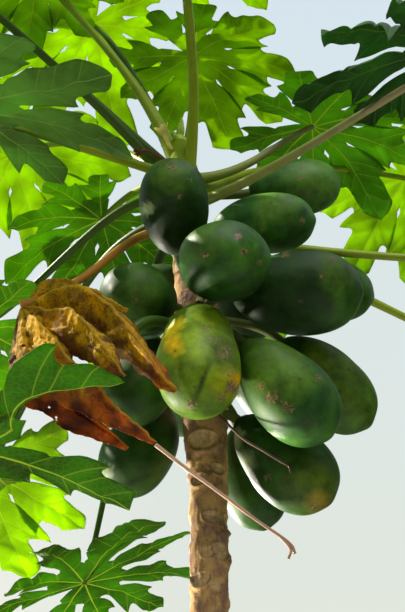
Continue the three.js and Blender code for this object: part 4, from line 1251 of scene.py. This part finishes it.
def turned_about(vector, axis, degrees):
    turn = math.radians(degrees)
    upright = axis * (axis @ vector) * (1 - math.cos(turn))
    return vector * math.cos(turn) + np.cross(axis, vector) * math.sin(turn) + upright


def blade_axes(turn, fall, roll):
    """The way forward of a blade, its side and its upper face."""
    forward = heading(turn, -fall)
    side = turned_about(heading(turn + 90, 0), forward, roll)
    normal = np.cross(forward, side)
    return forward, side, -normal if normal[2] < 0 else normal


print("reach of the widest leaf:", max(hub[2] for hub, *_ in LEAVES), "mm")

# %% Leaves
for number, (hub, root, faces_way, span, sag, leaves, blade, stalk) in enumerate(LEAVES, 1):
    name = f"leaf_{number:02d}"
    sheet = blade_mesh(name + "_blade", number, span, sag, round_trunk(*hub), blade_axes(*faces_way),
                       CUTS.get(number, 1), **CURLED_BLADES.get(number, COMMON_BLADE))
    add_piece(name + "_blade", thicken(name + "_blade", sheet, BLADE_THICK), blade, name)
    path = leaf_path(number, hub, root, leaves)
    share = np.linspace(0, 1, len(path))
    radii = (STALK_BASE + (STALK_END - STALK_BASE) * share) * (1 + STALK_FLARE * np.exp(-share * FLARE_FADE))
    add_stalk(name + "_stalk", path, radii, STALK_SIDES, stalk, name)
print("leaves:", len(LEAVES))

# %% [markdown]
# ## Fruit stalks
# Each fruit hangs on a short stout stalk from the trunk. It runs from just inside the neck to the
# trunk's middle on a small bow, and the trunk hides its root.

# %% Fruit stalks
NECK_RADIUS, ROOT_RADIUS, NECK_STEPS, NECK_SIDES, IN_THE_NECK = 9, 7, 10, 12, 12

for number, (turn, height, reach, points_turn, points_rise, length, girth) in enumerate(FRUIT, 1):
    start = round_trunk(turn, height, reach)
    along = heading(points_turn, points_rise)
    root = trunk_axis(start[2] - along[2] * reach / 2)
    path = bow(start + along * IN_THE_NECK, start - along * reach / 6,
               start - along * reach / 3, root, NECK_STEPS)
    radii = np.linspace(NECK_RADIUS, ROOT_RADIUS, NECK_STEPS + 1)
    name = f"fruit_{number:02d}"
    add_stalk(name + "_stalk", path, radii, NECK_SIDES, stalk_short, name)
print("fruit stalks:", len(FRUIT))

# %% [markdown]
# ## The dead leaf
# The lowest leaf on the left has died. Its lobes hang folded from the end of the brown stalk, mustard
# near the middle and orange to maroon lower down, with pale ribs, dark edges and torn curls; the dark
# of the edges is partly the dead tissue's own colour and partly painted shade where they fold under. Its
# finish adds blotches and freckles to the colours that the mesh carries, and lets some light through.

# %% Dead leaf finish
DEAD_BLOTCH, DEAD_FRECKLE, DEAD_RIB = paint(96, 52, 30), paint(84, 44, 34), paint(204, 160, 40)

dead_finish, tree = new_finish("dead_blade")
fine = grain(tree, 180.0, 0.6, 0.0015)
blotch = noise(tree, 45.0, 6.0, Roughness=0.7).outputs["Fac"]
freckles = noise(tree, 210.0, 4.0, Roughness=0.7).outputs["Fac"]
from_rib = attribute(tree, "rib").outputs["Fac"]
colour = attribute(tree, "dry").outputs["Color"]
for mask, layer_colour in (
    (limits(tree, blotch, 0.5, 0.6, 0, 0.62), DEAD_BLOTCH),
    (limits(tree, freckles, 0.53, 0.6, 0, 0.6), DEAD_FRECKLE),
    (limits(tree, from_rib, 0.0008, 0.0024, 0.6, 0), DEAD_RIB),
):
    colour = blend_colours(tree, mask, colour, layer_colour)
face_shader = plain_surface(tree, colour, 0.75, fine.outputs["Normal"], gloss=0.25)
surface(tree, thin_surface(tree, 0.3, face_shader, colour))
print("nodes of the dead leaf's finish:", len(tree.nodes))

# %% [markdown]
# ## The lobes of the dead leaf
# A dry lobe folds along its rib like a gutter and crumples. So each is a ribbon along a line from the
# hub to its tip, folded down on both sides, with pleats, and moved about by noise of several sizes.
# Where another noise is high, more so lower down, its faces are left out as holes and torn edges.

# %% Colours of a dead lobe
MUSTARD, OLIVE, RUST = paint(250, 196, 8), paint(206, 166, 8), paint(196, 100, 12)
# The dark edge colour is partly the dead tissue's own margin and partly painted shade where the folded edges
# lie under
MAROON, DRY_EDGE_AND_SHADE, DRY_STREAK = paint(84, 34, 18), paint(76, 36, 20), paint(112, 56, 26)
EDGE_COVER, STREAK_COVER = 0.85, 0.5
# The height where the colours begin to turn, over how much height, and from which share of it to rust
COLOURS_FROM, COLOURS_OVER, RUST_FROM, RUST_QUICK = 2860, 260, 0.45, 3.2


def dead_colours(number, points, share, v):
    """Mustard and olive, dark along the edges (own colour and painted shade where they fold under) and in
    streaks, rust and maroon lower down.
    """
    near = np.clip(roughness(points / 30, 65) + 0.5, 0, 1)[..., None]
    edge = np.clip(np.abs(v) * 2.6 - 1.0 + 0.9 * roughness(points / 14, 72), 0, 1)[..., None]
    streak_place = np.stack(np.broadcast_arrays(share[:, None] * 5 + number * 3, np.abs(v) * 6, 0.5), -1)
    streak = np.clip(1.6 * roughness(streak_place, 73), 0, STREAK_COVER)[..., None]
    down = (COLOURS_FROM - points[..., 2]) / COLOURS_OVER
    depth = np.clip(down + 0.25 * roughness(points / 40, 64), 0, 1)
    lower = np.clip((depth - RUST_FROM) * RUST_QUICK, 0, 1)[..., None]
    warm = np.clip(roughness(points / 18, 66) + 0.5, 0, 1)[..., None]
    skin = coat(OLIVE, MUSTARD, near)
    skin = coat(skin, DRY_EDGE_AND_SHADE, EDGE_COVER * edge)
    skin = coat(skin, DRY_STREAK, streak)
    return coat(skin, coat(MAROON, RUST, warm), lower).reshape(-1, 4)


print("where the rust begins:", round(COLOURS_FROM - RUST_FROM * COLOURS_OVER), "mm")

# %% Shape of a dead lobe
DEAD_HUB = np.array([-297, -340, 2848])
DEAD_FACES = np.array([-0.3, -0.7, 0.6])
DEAD_FOLD, DEAD_BROAD, DEAD_RAGGED = 1.35, 1.15, 0.22
# Middle and tip of each lobe from the hub, and its width
DEAD_LOBES = [
    ((63, -10, 53), (168, 20, 7), 50), ((113, -50, -5), (248, -50, -180), 62),
    ((95, -80, -66), (172, -80, -173), 46), ((67, -80, -111), (217, 0, -242), 54),
    ((41, -40, -122), (178, 20, -243), 54), ((13, -50, -92), (44, -80, -175), 40),
]
DEAD_ROWS, DEAD_COLUMNS = 111, 37
# Crumpling off the lobe and sideways in it: size, seed and how far
CRUMPLED = [(34, 62, 7), (11, 67, 2.4), (4, 68, 1.2)]
SHIFTED = [(21, 63, 4), (7, 69, 2.2)]


def uneven(points, sizes):
    """Noise of several sizes, added up."""
    return sum(far * roughness(points / size, seed) for size, seed, far in sizes)


def dead_lobe(number, middle, tip, width):
    """The points of a dead lobe and what its finish reads."""
    line = through([DEAD_HUB, DEAD_HUB + middle, DEAD_HUB + tip], (DEAD_ROWS - 1) // 2)
    way = np.gradient(line, axis=0)
    way /= np.linalg.norm(way, axis=1)[:, None]
    across = np.cross(way, DEAD_FACES)
    across /= np.linalg.norm(across, axis=1)[:, None]
    ridge = np.cross(across, way)
    share = np.linspace(0, 1, len(line))
    swell = 0.25 + 1.1 * np.sin(np.pi * share ** 0.8) ** 0.8
    half = DEAD_BROAD * width / 2 * swell * (1 - 0.6 * share ** 6)
    v = np.linspace(-1, 1, DEAD_COLUMNS)
    ragged = 1 + DEAD_RAGGED * roughness(np.stack([share * 9, share * 0 + number, share * 0], -1), 61)
    out = (half * ragged)[:, None] * v
    pleats = 3 * np.sin(np.abs(v) * 9 + number) + 0.9 * np.sin(np.abs(v) * 26)
    fall = -DEAD_FOLD * np.abs(out) + pleats * (np.sin(np.pi * share) + 0.2)[:, None]
    points = line[:, None] + out[..., None] * across[:, None] + fall[..., None] * ridge[:, None]
    loose = np.clip(share * 6, 0, 1)[:, None]
    crumple, shift = loose * uneven(points, CRUMPLED), loose * uneven(points, SHIFTED)
    points += crumple[..., None] * ridge[:, None] + shift[..., None] * across[:, None]
    values = {"dry": dead_colours(number, points, share, v), "rib": (np.abs(out) * MILLIMETRE).reshape(-1)}
    return points.reshape(-1, 3), values


print("points on a dead lobe:", DEAD_ROWS * DEAD_COLUMNS)

# %% [markdown]
# ## The dead leaf put together
# The ribbons of all the lobes become one sheet with a thin wall. The brown stalk is a bow like those
# of the green leaves, and swells where the blade begins.

# %% Dead leaf
DEAD_THICK = 1.2
TEAR_HEIGHT, TEAR_GROWS, TORN_ABOVE = 2700, 0.0016, 0.62
TEARS = [(12, 70, 1), (5, 71, 0.5)]
DEAD_ROOT, DEAD_LAUNCH, DEAD_ARRIVE = 3150, (-60, -15), (-90, -20)
DEAD_STALK_BASE, DEAD_STALK_END, SWOLLEN, SWOLLEN_FADE = 9, 6, 5, 14

dead_points, dead_faces, dead_values = [], [], []
for number, (middle, tip, width) in enumerate(DEAD_LOBES):
    points, values = dead_lobe(number, np.array(middle), np.array(tip), width)
    lobe_faces = grid_faces(DEAD_ROWS, DEAD_COLUMNS)
    torn = uneven(points, TEARS) - TEAR_GROWS * (points[:, 2] - TEAR_HEIGHT)
    whole = torn[lobe_faces].min(axis=1) < TORN_ABOVE
    dead_faces.append(lobe_faces[whole] + sum(len(earlier) for earlier in dead_points))
    dead_points.append(points)
    dead_values.append(values)
joined_values = {key: np.concatenate([values[key] for values in dead_values]) for key in ("dry", "rib")}
dead_mesh = new_mesh("dead_blade", np.concatenate(dead_points), np.concatenate(dead_faces), joined_values)
dead_wall = thicken("dead_blade", dead_mesh, DEAD_THICK)
add_piece("dead_blade", dead_wall, dead_finish, "dead_leaf")

root = trunk_axis(DEAD_ROOT)
reach = np.linalg.norm(DEAD_HUB - root) * BOW_SHARE
path = bow(root, root + heading(*DEAD_LAUNCH) * reach,
           DEAD_HUB - heading(*DEAD_ARRIVE) * reach, DEAD_HUB, STALK_STEPS)
share = np.linspace(0, 1, len(path))
radii = DEAD_STALK_BASE + (DEAD_STALK_END - DEAD_STALK_BASE) * share
radii += SWOLLEN * np.exp(-(1 - share) * SWOLLEN_FADE)
add_stalk("dead_stalk", path, radii, STALK_SIDES, stalk_brown, "dead_leaf")
print("dead leaf:", len(dead_wall.polygons), "faces")

# %% [markdown]
# ## Dry stalks
# Two old flower stalks are left, one across the front of the trunk, which ends in a fork, and a thin
# dark one below the middle fruit. They follow the places that the photograph shows, and slow noise
# makes them thicker and thinner.

# %% Dry stalks
stalk_dry = stalk_finish("stalk_dry", paint(196, 160, 136), paint(168, 128, 104), 0.6)
stalk_thin = stalk_finish("stalk_thin", paint(120, 96, 76), paint(70, 48, 40), 0.7)
DRY_STEPS, DRY_SIDES, DRY_UNEVEN, DRY_LUMP = 10, 12, 0.16, 14
DRY_STALKS = [
    # name, node, radius at the start and at the end, finish, places
    ("dry_stalk_long_skin", "dry_stalk_long", 3.1, 2.2, stalk_dry,
     [(-80, -340, 2603), (-36, -312, 2579), (9, -292, 2553), (68, -280, 2510), (117, -272, 2476),
      (127, -270, 2459)]),
    ("dry_stalk_thin_skin", "dry_stalk_thin", 2.6, 1.6, stalk_thin,
     [(8, -120, 2770), (16, -165, 2749), (37, -205, 2703), (57, -235, 2666), (83, -245, 2643),
      (103, -245, 2629), (123, -240, 2618), (127, -240, 2606)]),
    ("dry_stalk_long_fork_skin", "dry_stalk_long", 2.2, 1.8, stalk_dry,
     [(104, -274, 2486), (120, -270, 2466), (117, -266, 2452)]),
]
for name, node, first, last, finish, places in DRY_STALKS:
    path = through(places, DRY_STEPS)
    radii = np.linspace(first, last, len(path)) * (1 + DRY_UNEVEN * roughness(path / DRY_LUMP, 71))
    add_stalk(name, path, radii, DRY_SIDES, finish, node)
print("dry stalks and forks:", len(DRY_STALKS))

# %% [markdown]
# ## Forms round an axis
# Buds, furled leaves and the flower's tube are all round forms whose radius changes along an axis. One
# helper makes them, with pleats if wanted, and one joins several forms into a single mesh. A radius of
# nothing at both ends lets the poles weld and close.

# %% Forms round an axis
FORM_ROWS = 18
CLOSES_OVER = 40


def around_axis(start, way, length, radius_at, sides, pleats=0, pleat_depth=0.0):
    """A round form on an axis, its radius taken from the share of the length."""
    across = np.cross(way, [0.31, 0.17, 0.9])
    across /= np.linalg.norm(across)
    third = np.cross(way, across)
    turns = np.linspace(0, 2 * np.pi, sides, endpoint=False)
    share, turn = np.meshgrid(np.linspace(0, 1, FORM_ROWS), turns, indexing="ij")
    radius = radius_at(share) * (1 + pleat_depth * np.cos(pleats * turn + 2 * share))
    ring = np.cos(turn)[..., None] * across + np.sin(turn)[..., None] * third
    points = start + way * (share * length)[..., None] + ring * radius[..., None]
    return points.reshape(-1, 3), grid_faces(FORM_ROWS, sides, closed=True)


def joined(name, forms):
    """One mesh from several grids of points and their faces."""
    starts = np.cumsum([0] + [len(points) for points, _ in forms])
    faces = np.concatenate([faces + start for (_, faces), start in zip(forms, starts)])
    return new_mesh(name, np.concatenate([points for points, _ in forms]), faces)


def closed_ends(share):
    """One along a form and nothing at its two ends, so that its poles close."""
    return np.minimum(1, CLOSES_OVER * np.minimum(share, 1 - share))


def rounded(radius):
    return lambda share: radius * np.sqrt(np.maximum(0, 1 - (2 * share - 1) ** 2))


def furled_leaf(radius):
    def radius_at(share):
        belly = 0.3 + 0.7 * np.sin(np.pi * share) ** 2
        return radius * belly * np.minimum(1, (1 - share) * 12) * closed_ends(share)
    return radius_at


print("a round form with 12 sides has", len(around_axis(0, heading(0, 0), 10, rounded(5), 12)[0]), "points")

# %% [markdown]
# ## The growing tip
# New leaves stand furled like closed umbrellas on a soft pleated dome, with a few round buds on thin
# stems beside them. They are light green, with a grain that mixes two greens.

# %% Growing tip
YOUNG_LEAVES = [(30, 80, 62, 6.5), (-160, 72, 48, 6), (-80, 65, 38, 5.5)]
BUDS = [(-60, 40, 26, 4.5), (-20, 30, 24, 4.0), (-95, 25, 28, 4.2), (60, 35, 22, 4.0), (-40, 62, 30, 4.4)]
DOME_BELOW, DOME_LENGTH, DOME_RADIUS = 20, 44, 17
BUDS_BELOW, BUD_STEM_RADIUS, BUD_OVERLAP = 12, 1.3, 3

young_finish, tree = new_finish("young_leaf")
fine = grain(tree, 300.0, 0.3, 0.0008)
two_greens = limits(tree, fine.outputs["Pattern"], 0.4, 0.65)
colour = blend_colours(tree, two_greens, paint(132, 166, 30), paint(186, 206, 60))
surface(tree, plain_surface(tree, colour, 0.55, fine.outputs["Normal"]))

up = np.array([0.0, 0.0, 1.0])
tip_foot = trunk_axis(TIP_HEIGHT)
forms = [around_axis(tip_foot - DOME_BELOW * up, up, DOME_LENGTH, rounded(DOME_RADIUS), 24, 7, 0.06)]
for turn, rise, length, radius in YOUNG_LEAVES:
    forms.append(around_axis(tip_foot, heading(turn, rise), length, furled_leaf(radius), 30, 7, 0.3))
for turn, rise, length, radius in BUDS:
    way = heading(turn, rise)
    stem_foot = tip_foot - BUDS_BELOW * up
    bud_foot = stem_foot + way * (length - BUD_OVERLAP)
    forms.append(around_axis(stem_foot, way, length, lambda share: BUD_STEM_RADIUS * closed_ends(share), 8))
    forms.append(around_axis(bud_foot, way, radius * 3, rounded(radius), 14, 5, 0.08))
tip_mesh = joined("growing_tip_leaves", forms)
add_piece("growing_tip_leaves", tip_mesh, young_finish, "growing_tip")
print("forms in the growing tip:", len(forms))

# %% [markdown]
# ## The flowers
# The open flower has a short tube and five waxy petals that curl back. The old flower beside it has
# shrunk and turned brown. One rule makes both, and the old one is smaller, hangs down and is crumpled
# by noise. A thin wall closes tube and petals, which let some light through.

# %% Flowers
PETALS, PETAL_ROWS, PETAL_COLUMNS, PETAL_THICK = 5, 12, 9, 0.7
TUBE_RADIUS, TUBE_SIDES, MOUTH_SHARE = 2.6, 14, 0.32
STEM_START, STEM_END, STEM_STEPS, STEM_SIDES = 3.2, 3.0, 12, 10


def petal_finish(name, inner, outer, share_through):
    finish, tree = new_finish(name)
    fine = grain(tree, 350.0, 0.3, 0.0006)
    colour = blend_colours(tree, limits(tree, fine.outputs["Pattern"], 0.35, 0.65), inner, outer)
    face_shader = plain_surface(tree, colour, 0.5, fine.outputs["Normal"])
    surface(tree, thin_surface(tree, share_through, face_shader, outer))
    return finish


def flower_mesh(name, mouth, way, petal, width, spread, crumple):
    """A tube that widens to its mouth, and the petals round the mouth."""
    side = np.cross(way, [0, 0, 1])
    side /= np.linalg.norm(side)
    mouth_radius = MOUTH_SHARE * width
    forms = [around_axis(mouth - way * petal, way, petal,
                         lambda share: TUBE_RADIUS + (mouth_radius - TUBE_RADIUS) * share, TUBE_SIDES)]
    share, v = np.meshgrid(np.linspace(0, 1, PETAL_ROWS), np.linspace(-1, 1, PETAL_COLUMNS), indexing="ij")
    for k in range(PETALS):
        out = turned_about(side, way, 360 * k / PETALS)
        across = np.cross(way, out)
        half = width / 2 * np.sin(np.pi * (0.2 + 0.74 * share)) ** 0.7
        reach = mouth_radius + petal * spread * share ** 1.6
        rise = petal * (1.25 * share - 0.45 * spread * share ** 2) - 0.3 * half * v ** 2
        points = mouth + way * (rise - 1)[..., None] + out * reach[..., None] + across * (half * v)[..., None]
        outward = crumple * roughness(points / 5, 81)[..., None] * out
        forward = crumple * roughness(points / 4, 82)[..., None] * way
        forms.append(((points + (outward + forward)).reshape(-1, 3), grid_faces(PETAL_ROWS, PETAL_COLUMNS)))
    return joined(name, forms)


fresh_petal = petal_finish("fresh_petal", paint(238, 226, 120), paint(250, 242, 176), 0.35)
brown_petal = petal_finish("brown_petal", paint(84, 40, 20), paint(138, 62, 26), 0.15)
FLOWERS = [
    # node, root height, mouth, opens, petal, width, spread, crumple, finish, slot
    ("open_flower", 3312, (-82, -184, 3334), (-30, 42), 17, 14, 0.6, 0.3, fresh_petal, "flower"),
    ("withered_flower", 3284, (-125, -176, 3296), (-70, -30), 11, 8, 0.5, 2.6, brown_petal, "dead_leaf"),
]
for node, root_height, mouth, opens, petal, width, spread, crumple, finish, slot in FLOWERS:
    name = node + "_petals"
    way = heading(*opens)
    mouth = np.array(mouth, float)
    wall = thicken(name, flower_mesh(name, mouth, way, petal, width, spread, crumple), PETAL_THICK)
    add_piece(name, wall, finish, node)
    neck = mouth - way * petal
    start = trunk_axis(root_height)
    path = bow(start, start * 0.6 + neck * 0.4 - 4 * up, neck - way * 8, neck + way * 2, STEM_STEPS)
    radii = np.linspace(STEM_START, STEM_END, STEM_STEPS + 1)
    add_stalk(name + "_stem", path, radii, STEM_SIDES, finish, node)
print("flowers:", len(FLOWERS))

# %% [markdown]
# ## Sizes
# The box of the dressed plant is measured and printed.

# %% Sizes
low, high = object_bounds()
print("dressed box", [round(v, 3) for v in (*low, *high)])
